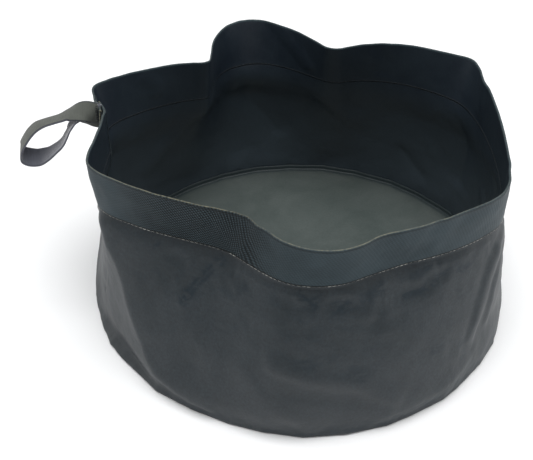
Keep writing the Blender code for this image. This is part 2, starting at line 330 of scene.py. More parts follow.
# The folds that the photograph shows in the wall's outside, and like ones round the back
WALL_CREASES = (
    Crease(LEFT_CREASE, 2.6, 58, 34, Fold.SHARP, edge=0.5),
    Crease(LEFT_CREASE, -6.3, 1, 78, Fold.FACET, edge=0.5),
    Crease(((-157.0, 82), (-156.8, 66), (-157.6, 48), (-158.9, 31)), 1.0, 9, 13, Fold.STEP, edge=0.8, fade=5),
    # Streaks at the right, and the low crease that runs in along the floor there
    Crease(((-17.0, 106), (-27.6, 83), (-33.8, 61), (-41.0, 30)), 1.8, 9, 6),
    Crease(((-12.5, 104), (-23.5, 78), (-28.0, 60), (-31.5, 30)), 1.3, 5, 5),
    Crease(((-10.0, 96), (-15.0, 66), (-18.0, 36)), -1.0, 7, 7),
    Crease(((-33.0, 31), (-38.9, 23), (-47.4, 17), (-54.5, 14), (-62.4, 13), (-73.0, 11.5)),
           1.3, 12, 24, Fold.SHARP, edge=0.9),
    Crease(((-44.0, 29), (-25.0, 34), (-6.0, 38)), -1.3, 20, 17, fade=16),
    # Soft hollows below the hem
    Crease(((-98.0, 103), (-92.0, 94), (-87.5, 87)), -1.0, 7, 6),
    Crease(((-85.0, 101), (-77.0, 95), (-69.0, 88)), -1.1, 5, 8),
    Crease(((-66.0, 91), (-54.0, 88), (-42.0, 96)), -1.2, 7, 6),
    Crease(((-116.5, 104), (-120.5, 96), (-124.5, 84), (-128.0, 70)), 1.5, 6, 12, Fold.STEP, edge=2, fade=8),
    Crease(((-138.0, 99), (-134.0, 94), (-130.0, 97)), -0.7, 5, 5, fade=7),
    Crease(((-74.0, 80), (-66.0, 76), (-58.0, 80)), -0.6, 5, 5, fade=8),
    # Slack waves across the front
    Crease(((-101.0, 57), (-91.0, 53), (-86.0, 48), (-74.5, 39), (-62.0, 21)), 1.5, 11, 7),
    Crease(((-97.0, 42), (-84.0, 37), (-72.0, 26)), -0.9, 11, 8),
    Crease(((-70.0, 80), (-56.0, 63), (-46.0, 40)), 0.8, 14, 11),
    Crease(((-132.0, 92), (-123.0, 60), (-111.0, 33)), 0.8, 18, 15),
    Crease(((-57.0, 58), (-50.0, 45), (-44.0, 34)), -0.7, 8, 8, fade=9),
    Crease(((-108.0, 50), (-99.0, 30), (-88.0, 18)), 0.6, 9, 9),
    # The right side, the back and the seam side
    Crease(((6.0, 102), (2.0, 60), (3.0, 22)), 1.6, 14, 12),
    Crease(((38.0, 107), (33.0, 72), (36.0, 28)), 2.8, 22, 26, Fold.SHARP),
    Crease(((22.0, 60), (17.0, 46), (9.0, 36)), -1.1, 8, 8),
    Crease(((98.0, 118), (91.0, 104), (83.0, 86), (74.0, 66), (66.0, 46)), -1.4, 12, 14, fade=34),
    Crease(((112.0, 107), (108.0, 72), (97.0, 32)), 2.2, 24, 20, Fold.SHARP),
    Crease(((132.0, 106), (140.0, 70), (151.0, 38)), -1.6, 14, 12),
    Crease(((163.0, 104), (160.0, 60), (158.0, 20)), 1.6, 16, 16),
    Crease(((60.0, 46), (52.0, 27), (46.0, 15)), 1.3, 9, 12, Fold.SHARP),
)

# Painted shade on the wall's outside, in folds, under the hem and along the foot, as creases whose height is
# the painted shade's strength
WALL_SHADE_MARKS = (
    Crease(((-116.0, 105), (-120.5, 96), (-124.9, 83), (-128.0, 64)), 1.0, 3, 8, fade=8),
    Crease(((-139.9, 101), (-141.7, 94)), 0.7, 2.5, 2.5, fade=2),
    Crease(((-107.0, 97), (-110.8, 87)), 0.5, 5, 5, fade=3),
    Crease(((-91.8, 102), (-88.1, 99), (-84.2, 95)), 0.8, 6, 6, fade=4),
    Crease(((-82.5, 93), (-77.5, 93), (-72.3, 94), (-63.4, 99)), 0.8, 5, 5, fade=6),
    Crease(((-60.7, 88), (-55.0, 88), (-49.9, 90), (-43.9, 94), (-33.3, 91)), 1.0, 3, 3, fade=5),
    Crease(((-57.0, 99), (-48.0, 101), (-38.0, 100)), 0.6, 4, 4, fade=5),
    Crease(((-54.3, 47), (-47.4, 46), (-41.4, 38)), 0.7, 4, 4, fade=4),
    Crease(((-36.0, 52), (-38.5, 36), (-44.0, 25)), 0.6, 5, 5, fade=5),
    Crease(((-91.9, 64), (-80.9, 58), (-70.6, 43)), 0.45, 9, 9, fade=10),
    # Painted shade along the foot in front
    Crease(((-128.0, 2), (-90.0, 2), (-62.0, 2)), 0.7, 13, 13, fade=14),
    Crease(((-70.0, 3), (-35.0, 5), (-8.0, 10), (14.0, 10)), 0.95, 17, 17, fade=14),
    Crease(((68.0, 92), (79.0, 96), (90.0, 90)), 0.6, 5, 5, fade=5),
    Crease(((172.0, 98), (-178.0, 92), (-172.0, 96)), 0.6, 6, 6, fade=5),
)

# The folds in the hem's stiffer double cloth
HEM_CREASES = (
    Crease(((-108.0, 150), (-107.0, 132), (-106.0, 110)), -1.1, 9, 8, fade=4),
    Crease(((-116.0, 150), (-118.0, 130), (-119.0, 110)), 0.7, 12, 9, fade=4),
    Crease(((-97.0, 150), (-95.0, 130), (-94.0, 112)), 0.8, 7, 9, fade=4),
    Crease(((-114.0, 104), (-109.0, 122), (-103.0, 148)), 0.9, 10, 7, Fold.SHARP, edge=0.7, fade=2),
    Crease(((-50.0, 148), (-53.0, 128), (-55.0, 111)), -0.8, 12, 10, fade=6),
    Crease(((-20.0, 148), (-19.0, 126), (-17.0, 108)), -0.7, 9, 9, fade=6),
    Crease(((102.0, 150), (98.0, 137), (92.0, 122), (88.0, 112)), -1.1, 7, 8, fade=6),
    Crease(((152.0, 142), (147.0, 128), (148.0, 116)), -0.8, 7, 7, fade=6),
    Crease(((66.0, 148), (63.0, 128), (64.0, 112)), 0.8, 9, 9, fade=6),
    Crease(((27.0, 148), (25.0, 128), (26.0, 112)), -0.7, 9, 9, fade=6),
    Crease(((-141.0, 146), (-138.0, 128), (-137.0, 114)), 0.6, 12, 12, fade=6),
)

# Corners that the weld pulls into the foot, as plan angles in degrees and radii in millimetres
FOOT_CORNERS = (
    (-168.7, 156.7), (-159.2, 155.2), (-151.4, 154.8), (-145.7, 153.4), (-129.5, 152.0), (-118.2, 149.9),
    (-108.1, 149.9), (-99.0, 150.7), (-88.3, 152.2), (-77.3, 151.5), (-67.0, 151.7), (-59.7, 150.8),
    (-49.5, 151.5), (-43.7, 150.9), (-32.5, 150.9), (-23.7, 151.5), (-17.4, 150.8), (-8.0, 150.6),
    (4.0, 150.0), (14.0, 150.6), (26.0, 150.2), (37.0, 151.2), (50.0, 150.6), (60.0, 151.2),
    (73.0, 150.8), (84.0, 151.4), (95.0, 150.9), (107.0, 151.6), (118.0, 151.9), (130.0, 152.6),
    (141.0, 153.2), (153.0, 154.4), (164.0, 155.8), (178.0, 157.2),
)

# How far the mouth's edge stands off the CAD model's smoother line, at the front's sag and beside
# the hump at the back, as plan angles in degrees and millimetres
MOUTH_TRIM = (
    (-180.0, 0.0), (-104.0, 0.0), (-93.0, -1.0), (-80.0, -0.9), (-68.0, -1.7), (-57.0, -0.9),
    (-46.0, 0.0), (100.0, 0.0), (112.0, 0.4), (115.0, 1.6), (118.5, 2.2), (122.0, 0.8),
    (125.0, -1.8), (128.0, -4.2), (130.5, -5.4), (133.0, -3.6), (137.0, -1.2), (142.0, 0.0), (180.0, 0.0),
)

# How far the flap's cut edge rises above its lowest, as plan angles in degrees and millimetres
FLAP_RISE = (
    (-180.0, 0.0), (-150.0, 0.0), (-130.0, 0.5), (-116.0, 1.6), (-104.0, 2.2), (-84.0, 2.1),
    (-66.0, 1.6), (-45.0, 2.2), (0.0, 2.2), (60.0, 1.4), (110.0, 0.8), (150.0, 0.2), (180.0, 0.0),
)

# How far the fold at the mouth is rubbed pale, as plan angles in degrees and shares
FOLD_RUB_SHARES = (
    (-180.0, 0.20), (-165.0, 0.25), (-152.0, 0.60), (-128.0, 0.85), (-119.0, 0.70), (-112.0, 0.35),
    (-98.0, 0.45), (-91.0, 0.65), (-72.0, 0.65), (-50.0, 0.50), (-30.0, 0.20), (0.0, 0.12), (180.0, 0.20),
)


Source = bpy.types.Node | bpy.types.NodeSocket


def wire(
    tree: bpy.types.NodeTree,
    node: bpy.types.Node,
    settings: dict[str | int, Any] | None = None,
    links: dict[str | int, Source] | None = None,
) -> None:
    """Set a node's values and feed its sockets.

    Args:
        tree: The node tree that holds it.
        node: The node.
        settings: Values for its sockets, by name or place, or for its own properties.
        links: What feeds its sockets, by name or place: a socket, or a node's first output.
    """
    for key, value in (settings or {}).items():
        if isinstance(key, int) or key in node.inputs:
            node.inputs[key].default_value = value
        else:
            setattr(node, key, value)
    for key, source in (links or {}).items():
        socket = source.outputs[0] if isinstance(source, bpy.types.Node) else source
        tree.links.new(socket, node.inputs[key])


def add_node(
    tree: bpy.types.NodeTree,
    kind: str,
    settings: dict[str | int, Any] | None = None,
    links: dict[str | int, Source] | None = None,
) -> bpy.types.Node:
    """Add a shader node.

    Args:
        tree: The node tree that gets it.
        kind: The shader node's type, such as TexNoise.
        settings: Its values, as wire() takes them.
        links: What feeds its sockets, as wire() takes it.

    Returns:
        The node.
    """
    made = tree.nodes.new(f"ShaderNode{kind}")
    wire(tree, made, settings, links)
    return made


def new_material(name: str) -> tuple[bpy.types.Material, bpy.types.NodeTree, bpy.types.Node]:
    """Start a material.

    Args:
        name: The material's name.

    Returns:
        The material, its node tree and its Principled shader.
    """
    made = bpy.data.materials.new(name)
    made.use_nodes = True
    return made, made.node_tree, made.node_tree.nodes["Principled BSDF"]


@dataclass(frozen=True)
class CoatedCloth:
    """Polyester cloth with a polyurethane coat, knife-coated and calendered to a satin face.

    The coat hides the yarn but for a faint grid, and shows as a soft sheen with broad, low
    mottling where it is thinner or has been handled.
    """

    name: str
    colour: str
    marked: str
    roughness: float
    specular: float = 0.5
    mottle: float = 28 * MM
    grain: float = 1.6 * MM
    crinkle: float = 7 * MM
    mark: float = 13 * MM
    yarn: float = 0.8 * MM
    grid: float = 0.25
    wrinkle: float = 0.5
    speckle: float = 0.10
    # Strength of the painted shade in smudges, which grows towards the hem
    shade_smudge: float = 0.0
    painted_shade: str = "071922"
    painted_light_below: str = ""
    painted_shading_reach: tuple[float, float] = (105 * MM, 25 * MM)
    weld_shade: str = ""

    def shade_smudged(
        self, tree: bpy.types.NodeTree, base: Source, place: Source, height: Source
    ) -> bpy.types.NodeSocket:
        """Darken the coat with painted shade: level smudges that grow stronger towards the hem, and the
        painted shade marks.

        Args:
            tree: The node tree.
            base: The coat's colour.
            place: The place on the cloth.
            height: The height above the ground.

        Returns:
            The socket with the new colour.
        """
        drawn_out = add_node(tree, "Mapping", {"Scale": (1.0, 1.0, 2.2)}, {"Vector": place})
        marks = add_node(
            tree, "TexNoise",
            {"Scale": 1 / self.mark, "Detail": 5.0, "Roughness": 0.68, "Distortion": 1.2},
            {"Vector": drawn_out},
        )
        # Painted shade under the hem: the smudges grow stronger higher up
        high, low = self.painted_shading_reach
        above = add_node(
            tree, "MapRange",
            {"From Min": low, "From Max": high, "To Min": 0.1 * self.shade_smudge, "To Max": self.shade_smudge},
            {"Value": height},
        )
        dark = add_node(tree, "MapRange", {"From Min": 0.46, "From Max": 0.66}, {"Value": marks})
        share = add_node(tree, "Math", {"operation": "MULTIPLY"}, {0: dark, 1: above})
        # Painted shade marks along the folds, under the hem and at the foot
        shade_mark = add_node(tree, "Attribute", {"attribute_name": "shade_mark"}).outputs["Fac"]
        broken = add_node(
            tree, "MapRange", {"From Min": 0.44, "From Max": 0.50, "To Min": 0.22}, {"Value": marks}
        )
        painted_shade = add_node(
            tree, "Math", {"operation": "MULTIPLY_ADD", "use_clamp": True}, {0: shade_mark, 1: broken, 2: share}
        )
        return add_node(
            tree, "Mix", {"data_type": "RGBA", 7: linear(self.painted_shade)}, {0: painted_shade, 6: base}
        ).outputs[2]

    def lit_below(self, tree: bpy.types.NodeTree, base: Source, height: Source) -> bpy.types.NodeSocket:
        """Lighten the coat towards the ground, as painted light.

        Args:
            tree: The node tree.
            base: The coat's colour.
            height: The height above the ground.

        Returns:
            The socket with the new colour.
        """
        high, low = self.painted_shading_reach
        below = add_node(
            tree, "MapRange", {"From Min": high, "From Max": low, "To Max": 0.5}, {"Value": height}
        )
        return add_node(
            tree, "Mix", {"data_type": "RGBA", 7: linear(self.painted_light_below)}, {0: below, 6: base}
        ).outputs[2]

    def material(self) -> bpy.types.Material:
        """Dress the coat: mottling, painted light towards the ground, painted shade in smudges, marks and at
        the welded ring, grain and the yarn's relief.

        Returns:
            The finish as a material.
        """
        made, tree, shader = new_material(self.name)
        place = add_node(tree, "TexCoord").outputs["Object"]
        cloud = add_node(
            tree, "TexNoise",
            {"Scale": 1 / self.mottle, "Detail": 4.0, "Roughness": 0.62, "Distortion": 0.5},
            {"Vector": place},
        )
        grain = add_node(
            tree, "TexNoise", {"Scale": 1 / self.grain, "Detail": 2.0, "Roughness": 0.7}, {"Vector": place}
        )
        crinkle = add_node(
            tree, "TexNoise",
            {"Scale": 1 / self.crinkle, "Detail": 3.0, "Roughness": 0.55, "Distortion": 0.8},
            {"Vector": place},
        )
        cloudy = add_node(tree, "MapRange", {"From Min": 0.34, "From Max": 0.66}, {"Value": cloud})
        base = add_node(
            tree, "Mix", {"data_type": "RGBA", 6: linear(self.colour), 7: linear(self.marked)}, {0: cloudy}
        ).outputs[2]
        height = add_node(tree, "SeparateXYZ", None, {0: place}).outputs["Z"]
        # Painted light: lighter towards the ground
        if self.painted_light_below:
            base = self.lit_below(tree, base, height)
        # Painted shade: dark smudges, stronger towards the hem, and dark marks
        if self.shade_smudge:
            base = self.shade_smudged(tree, base, place, height)
        # Painted shade on the floor's welded ring, in the corner by the wall
        if self.weld_shade:
            weld_shaded = add_node(tree, "Attribute", {"attribute_name": "weld_shade"}).outputs["Fac"]
            base = add_node(
                tree, "Mix", {"data_type": "RGBA", 7: linear(self.weld_shade)}, {0: weld_shaded, 6: base}
            ).outputs[2]
        speckle = add_node(
            tree, "MapRange",
            {"From Min": 0.25, "From Max": 0.75, "To Min": 1 - self.speckle, "To Max": 1 + self.speckle},
            {"Value": grain},
        )
        grained = add_node(tree, "VectorMath", {"operation": "SCALE"}, {0: base, "Scale": speckle})
        gloss = add_node(
            tree, "MapRange", {"To Min": self.roughness - 0.05, "To Max": self.roughness + 0.08},
            {"Value": cloud},
        )
        relief = add_node(
            tree, "Math", {"operation": "MULTIPLY_ADD", 1: self.grid},
            {0: yarn_grid(tree, self.yarn, 0.0), 2: grain},
        )
        wrinkled = add_node(
            tree, "Bump", {"Strength": self.wrinkle, "Distance": 0.5 * MM}, {"Height": crinkle}
        )
        bump = add_node(
            tree, "Bump", {"Strength": 0.16, "Distance": 0.25 * MM}, {"Height": relief, "Normal": wrinkled}
        )
        wire(
            tree, shader, {"Specular IOR Level": self.specular},
            {"Base Color": grained, "Roughness": gloss, "Normal": bump},
        )
        return made


def yarn_grid(tree: bpy.types.NodeTree, pitch: float, turn: float) -> bpy.types.Node:
    """A weave's relief, from 0 between the yarns to 1 on top, on the piece's UV map in metres.

    Args:
        tree: The node tree that gets it.
        pitch: Distance from yarn to yarn.
        turn: How far the weave is turned on the cloth, in degrees.

    Returns:
        The node whose first output is the relief.
    """
    place = add_node(tree, "UVMap", {"uv_map": "cloth"})
    turned = add_node(tree, "Mapping", {"Rotation": (0.0, 0.0, math.radians(turn))}, {"Vector": place})
    warp, weft = (
        add_node(
            tree, "TexWave",
            {"bands_direction": way, "Scale": WAVE_LENGTH / pitch, "Distortion": 0.4, "Detail": 1.0},
            {"Vector": turned},
        ).outputs["Fac"]
        for way in ("X", "Y")
    )
    low = add_node(tree, "Math", {"operation": "MULTIPLY", 1: 0.42}, {0: weft})
    return add_node(tree, "Math", {"operation": "MULTIPLY_ADD", 1: 0.58}, {0: warp, 2: low})


@dataclass(frozen=True)
class WovenBack:
    """The uncoated back of the cloth: textured polyester yarn, woven plain and left matt.

    The yarn lies on the bias of the hem and shows as a fine diagonal cross-hatch. It is drawn
    at about three times its real pitch, because the real one is finer than the picture's
    pixels. The fold and the cut edge have lost their dye and show pale, broken flecks.
    """

    name: str = "woven_polyester_back"
    colour: str = "0b1417"
    high: str = "3a474d"
    pale: str = "7c7966"
    pitch: float = 1.8 * MM
    bias: float = -30.0
    cloud: float = 22 * MM
    fleck: float = 2.2 * MM
    roughness: float = 0.56

    def material(self) -> bpy.types.Material:
        """Dress the weave: opened, and darkened as painted shade, where the cloth is bent; pale where it is
        rubbed; darkened as painted shadow along the cut edge and below the fold.

        Returns:
            The finish as a material.
        """
        made, tree, shader = new_material(self.name)
        place = add_node(tree, "TexCoord").outputs["Object"]
        cloud = add_node(tree, "TexNoise", {"Scale": 1 / self.cloud, "Detail": 3.0}, {"Vector": place})
        fleck = add_node(
            tree, "TexNoise", {"Scale": 1 / self.fleck, "Detail": 2.0, "Roughness": 0.6}, {"Vector": place}
        )
        bent_and_shaded = add_node(tree, "Attribute", {"attribute_name": "bent_and_shaded"}).outputs["Fac"]
        wear_and_shade = add_node(tree, "Attribute", {"attribute_name": "wear_and_shade"}).outputs["Fac"]
        opened = add_node(tree, "MapRange", {"To Min": 0.22, "To Max": 1.75}, {"Value": bent_and_shaded})
        centred = add_node(
            tree, "MapRange", {"From Min": 0.15, "From Max": 0.85, "To Min": -0.5, "To Max": 0.5},
            {"Value": yarn_grid(tree, self.pitch, self.bias)},
        )
        clouded = add_node(
            tree, "MapRange", {"From Min": 0.3, "From Max": 0.7, "To Min": 0.52, "To Max": 0.78},
            {"Value": cloud},
        )
        shown = add_node(tree, "Math", {"operation": "MULTIPLY"}, {0: centred, 1: opened})
        toned = add_node(tree, "Math", {"operation": "ADD"}, {0: shown, 1: clouded})
        # Painted shade: the weave is darker where the cloth is bent
        deep = add_node(tree, "Math", {"operation": "POWER", 1: 0.4}, {0: bent_and_shaded})
        yarns = add_node(
            tree, "Math", {"operation": "MULTIPLY_ADD", 1: -0.56, "use_clamp": True}, {0: deep, 2: toned}
        )
        base = add_node(
            tree, "Mix", {"data_type": "RGBA", 6: linear(self.colour), 7: linear(self.high)}, {0: yarns}
        ).outputs[2]
        # Painted shadow: values below zero darken the weave
        shade = add_node(
            tree, "MapRange", {"From Min": -1.0, "From Max": 0.0, "To Min": 0.12, "To Max": 1.0},
            {"Value": wear_and_shade},
        )
        shaded = add_node(tree, "VectorMath", {"operation": "SCALE"}, {0: base, "Scale": shade})
        broken = add_node(
            tree, "MapRange", {"From Min": 0.36, "From Max": 0.60, "To Min": 0.35}, {"Value": fleck}
        )
        marked = add_node(tree, "Math", {"operation": "MULTIPLY", "use_clamp": True}, {0: wear_and_shade, 1: broken})
        colour = add_node(
            tree, "Mix", {"data_type": "RGBA", 7: linear(self.pale)}, {0: marked, 6: shaded}
        ).outputs[2]
        relief = add_node(tree, "Math", {"operation": "MULTIPLY_ADD", 1: 0.4}, {0: fleck, 2: shown})
        bump = add_node(tree, "Bump", {"Strength": 0.7, "Distance": 0.3 * MM}, {"Height": relief})
        wire(
            tree, shader, {"Roughness": self.roughness, "Specular IOR Level": 0.14, "Sheen Weight": 0.02},
            {"Base Color": colour, "Normal": bump},
        )
        return made


@dataclass(frozen=True)
class WovenTape:
    """Polyester tape woven with a rib across it, as used for hanging loops.

    It is matt and a little hairy, so it looks paler than the basin's cloth, and its two
    selvedges are tighter and darker.
    """

    name: str
    colour: str
    high: str
    selvedge: str
    rib: float = 1.1 * MM
    yarn: float = 0.9 * MM
    cloud: float = 6 * MM
    width: float = 15 * MM
    selvedge_reach: tuple[float, float] = (1.3 * MM, 0.5 * MM)
    sheen: float = 0.15

    def material(self) -> bpy.types.Material:
        """Dress the tape with its ribs, its yarns and its selvedges.

        Returns:
            The finish as a material.
        """
        made, tree, shader = new_material(self.name)
        place = add_node(tree, "UVMap", {"uv_map": "cloth"})
        rib = add_node(
            tree, "TexWave",
            {"bands_direction": "X", "Scale": WAVE_LENGTH / self.rib, "Distortion": 0.6, "Detail": 1.0},
            {"Vector": place},
        ).outputs["Fac"]
        yarn = add_node(
            tree, "TexWave", {"bands_direction": "Y", "Scale": WAVE_LENGTH / self.yarn, "Distortion": 0.4},
            {"Vector": place},
        ).outputs["Fac"]
        cloud = add_node(tree, "TexNoise", {"Scale": 1 / self.cloud, "Detail": 3.0}, {"Vector": place})
        weave = add_node(tree, "Math", {"operation": "MULTIPLY"}, {0: rib, 1: yarn})
        tone = add_node(tree, "Math", {"operation": "MULTIPLY_ADD", 1: 0.5}, {0: weave, 2: cloud})
        base = add_node(
            tree, "Mix", {"data_type": "RGBA", 6: linear(self.colour), 7: linear(self.high)}, {0: tone}
        ).outputs[2]
        sideways = add_node(tree, "SeparateXYZ", None, {0: place}).outputs["Y"]
        off_middle = add_node(tree, "Math", {"operation": "ABSOLUTE"}, {0: sideways})
        low, high = (self.width / 2 - reach for reach in self.selvedge_reach)
        edge = add_node(tree, "MapRange", {"From Min": low, "From Max": high}, {"Value": off_middle})
        colour = add_node(
            tree, "Mix", {"data_type": "RGBA", 7: linear(self.selvedge)}, {0: edge, 6: base}
        ).outputs[2]
        bump = add_node(tree, "Bump", {"Strength": 0.6, "Distance": 0.25 * MM}, {"Height": weave})
        wire(
            tree, shader, {"Roughness": 0.8, "Specular IOR Level": 0.25, "Sheen Weight": self.sheen},
            {"Base Color": colour, "Normal": bump},
        )
        return made


@dataclass(frozen=True)
class SpunThread:
    """Spun polyester sewing thread: matt, and pale in lengths where its dye has rubbed off."""

    name: str
    colour: str
    high: str
    length: float = 0.8 * MM

    def material(self) -> bpy.types.Material:
        """Dress the thread.

        Returns:
            The finish as a material.
        """
        made, tree, shader = new_material(self.name)
        place = add_node(tree, "TexCoord").outputs["Object"]
        ply = add_node(tree, "TexNoise", {"Scale": 1 / self.length, "Detail": 3.0}, {"Vector": place})
        rubbed = add_node(tree, "MapRange", {"From Min": 0.36, "From Max": 0.58}, {"Value": ply})
        colour = add_node(
            tree, "Mix", {"data_type": "RGBA", 6: linear(self.colour), 7: linear(self.high)}, {0: rubbed}
        ).outputs[2]
        wire(tree, shader, {"Roughness": 0.75}, {"Base Color": colour})
        return made


@dataclass(frozen=True)
class StudioPaper:
    """White background paper, matt and even."""

    name: str = "studio_paper"
    colour: str = "f4f5f6"

    def material(self) -> bpy.types.Material:
        """Dress the paper.

        Returns:
            The finish as a material.
        """
        made, tree, shader = new_material(self.name)
        wire(tree, shader, {"Base Color": linear(self.colour), "Roughness": 0.9})
        return made


def add_piece(name: str, bm: bmesh.types.BMesh, finishes: list[bpy.types.Material]) -> bpy.types.Object:
    """Turn a bmesh into a smooth-shaded object at the origin.

    Args:
        name: The piece's name.
        bm: Its mesh, which is freed.
        finishes: Its materials, in the order of its faces' indices.

    Returns:
        The object.
    """
    mesh = bpy.data.meshes.new(name)
    bm.to_mesh(mesh)
    bm.free()
    for finish in finishes:
        mesh.materials.append(finish)
    mesh.shade_smooth()
    made = bpy.data.objects.new(name, mesh)
    bpy.context.scene.collection.objects.link(made)
    LOG.info("%s: %d faces", name, len(mesh.polygons))
    return made


def add_layer(piece: bpy.types.Object, name: str, values: np.ndarray) -> None:
    """Give a piece's vertices a value each, which its finish reads by this name."""
    layer = piece.data.attributes.new(name, "FLOAT", "POINT")
    layer.data.foreach_set("value", values.astype(np.float32))


def add_thickness(piece: bpy.types.Object, thickness: float, offset: float, backed: bool = False) -> None:
    """Give a sheet its thickness.

    Args:
        piece: The sheet.
        thickness: How thick the cloth is.
        offset: -1 to grow away from the faces' front, 0 to grow both ways.
        backed: Whether its back takes the finish after its front's.
    """
    shell = piece.modifiers.new("Cloth thickness", "SOLIDIFY")
    shell.thickness = thickness
    shell.offset = offset
    shell.use_even_offset = False
    shell.material_offset = int(backed)


@dataclass
class Strip:
    """A strip of cloth that is drawn as a flat grid and then moved onto its surface."""

    columns: int
    rows: int

    def grid(self) -> tuple[bmesh.types.BMesh, np.ndarray, np.ndarray]:
        """Draw the flat grid.

        Returns:
            The grid, and each vertex's share of its length and of its width.
        """
        bm = bmesh.new()
        bmesh.ops.create_grid(bm, x_segments=self.columns, y_segments=self.rows, size=0.5)
        bm.verts.ensure_lookup_table()
        flat = np.array([vert.co for vert in bm.verts]) + 0.5
        return bm, np.clip(flat[:, 0], 0.0, 1.0), np.clip(flat[:, 1], 0.0, 1.0)

    @staticmethod
    def place(bm: bmesh.types.BMesh, points: np.ndarray, lengths: np.ndarray, widths: np.ndarray) -> None:
        """Move the grid's vertices, and lay its UV map in metres.

        Args:
            bm: The grid.
            points: Where each vertex goes.
            lengths: Its distance along the strip.
            widths: Its distance across the strip.
        """
        for vert, point in zip(bm.verts, points):
            vert.co = point
        layer = bm.loops.layers.uv.new("cloth")
        for face in bm.faces:
            for loop in face.loops:
                loop[layer].uv = (lengths[loop.vert.index], widths[loop.vert.index])


def at_polar(angles: np.ndarray, radii: np.ndarray, heights: np.ndarray) -> np.ndarray:
    """Points at plan angles in degrees, radii and heights."""
    turn = np.radians(angles)
    return np.column_stack((radii * np.cos(turn), radii * np.sin(turn), heights))


def ripple(points: np.ndarray, size: float, octaves: int, shift: float = 0.0) -> np.ndarray:
    """Smooth noise from about -1 to 1 at each point, with bumps of a given size."""
    offset = Vector((shift, shift, shift))
    return np.array([noise.fractal(Vector(point) / size + offset, 1.0, 2.0, octaves) for point in points])


def crumpled(points: np.ndarray, size: float, shift: float = 0.0) -> np.ndarray:
    """Crumple of stiff slack cloth: flat facets that meet in ridges, drawn out up the wall.

    Args:
        points: Where to read it.
        size: How wide a facet is.
        shift: Moves the pattern.

    Returns:
        The relief at each point, from about -0.5 in the facets to 0.3 on the ridges.
    """
    relief = np.empty(len(points))
    for index, (across, deep, up) in enumerate(points / size):
        near = noise.voronoi(Vector((across + shift, deep, up * 0.6)))[0]
        relief[index] = 0.3 - min(near[1] - near[0], 0.8)
    shown = 0.55 + 0.6 * ripple(points, 3 * size, 1, shift + 4.1)
    return relief * np.clip(shown, 0.0, 1.0)


@dataclass
class BasinShape:
    """The surfaces that the cloth follows: the CAD model's outlines, with the foot's corners."""

    straight_top: float = 22 * MM
    foot_reach: tuple[float, float] = (26 * MM, 3 * MM)
    foot_rounding: float = 0.9 * MM
    rounded_to: float = 1.6 * MM
    trimmed_from: float = 50 * MM
    stitch_drop: float = 0.25 * MM
    bobbin_rise: float = 1.2 * MM
    wall_rows: list[Outline] = field(init=False)
    hem_low: Outline = field(init=False)
    hem_high: Outline = field(init=False)
    hem_line: float = field(init=False)
    wall_spacing: Spacing = field(init=False)
    hem_spacing: Spacing = field(init=False)

    def __post_init__(self) -> None:
        """Read the wall's outside and the hem's inside from the frame."""
        self.wall_rows = read_outlines("wall_panel", Skin.OUTER)
        inside = [ring for ring in read_outlines("rim_hem", Skin.INNER) if ring.height > WALL_TOP]
        self.hem_low, self.hem_high = inside[0], inside[-2]
        self.hem_line = self.hem_low.height
        self.wall_spacing = Spacing(self.wall_rows[len(self.wall_rows) // 2])
        self.hem_spacing = Spacing(self.hem_low)

    def foot_radius(self, angles: np.ndarray) -> np.ndarray:
        """Draw the wall's foot, which runs straight between the corners of the weld.

        Args:
            angles: Plan angles in degrees.

        Returns:
            Its radius at each.
        """
        turns, radii = np.array(FOOT_CORNERS).T
        turns = np.concatenate((turns[-1:] - FULL_TURN, turns, turns[:1] + FULL_TURN))
        radii = np.concatenate((radii[-1:], radii, radii[:1])) * MM
        at = wrapped(angles, 0.0)
        index = np.clip(np.searchsorted(turns, at) - 1, 0, len(turns) - 2)
        first, last = radii[index], radii[index + 1]
        turn = np.radians(at - turns[index])
        span = np.radians(turns[index + 1] - turns[index])
        return first * last * np.sin(span) / (first * np.sin(turn) + last * np.sin(span - turn))

    def trim(self, angles: np.ndarray) -> np.ndarray:
        """How far the mouth stands off the CAD model's line."""
        return around_table(MOUTH_TRIM, angles) * MM

    def flap_foot(self, angles: np.ndarray) -> np.ndarray:
        """Height of the hem flap's cut edge."""
        return FLAP_FOOT + around_table(FLAP_RISE, angles) * MM

    def stitch_line(self, angles: np.ndarray) -> np.ndarray:
        """Height of the hem's stitches outside, which lie half under the flap's cut edge."""
        return self.flap_foot(angles) - self.stitch_drop

    def bobbin_line(self, angles: np.ndarray) -> np.ndarray:
        """Height of the hem's stitches inside."""
        return np.full(angles.shape, self.hem_line + self.bobbin_rise)

    def wall_radius(self, angles: np.ndarray, heights: np.ndarray) -> np.ndarray:
        """Draw the wall's outside without its folds; its upper part runs straight to the hem.

        Args:
            angles: Plan angles in degrees.
            heights: Heights above the ground.

        Returns:
            The radius at each place.
        """
        rings = [ring for ring in self.wall_rows if ring.height < WALL_TOP - self.straight_top]
        levels = np.array([*(ring.height for ring in rings), WALL_TOP])
        foot_of_hem = self.hem_low.radius(angles) + CLOTH
        rows = np.array([*(ring.radius(angles) for ring in rings), foot_of_hem])
        radii = smooth(levels, rows, np.clip(heights, levels[0], levels[-1]), level=True)
        radii = radii + (self.foot_radius(angles) - radii) * ramp(*self.foot_reach, heights)
        rounded = self.foot_rounding * ramp(self.rounded_to, 0.0, heights)
        return radii - rounded + self.trim(angles) * ramp(self.trimmed_from, WALL_TOP, heights)

    def hem_radius(self, angles: np.ndarray, heights: np.ndarray) -> np.ndarray:
        """Draw the hem's inside without its folds.

        Args:
            angles: Plan angles in degrees.
            heights: Heights above the ground.

        Returns:
            The radius at each place.
        """
        low, high = self.hem_low, self.hem_high
        up = (heights - low.height) / (high.height - low.height)
        first, last = low.radius(angles), high.radius(angles)
        return first + (last - first) * up + self.trim(angles)


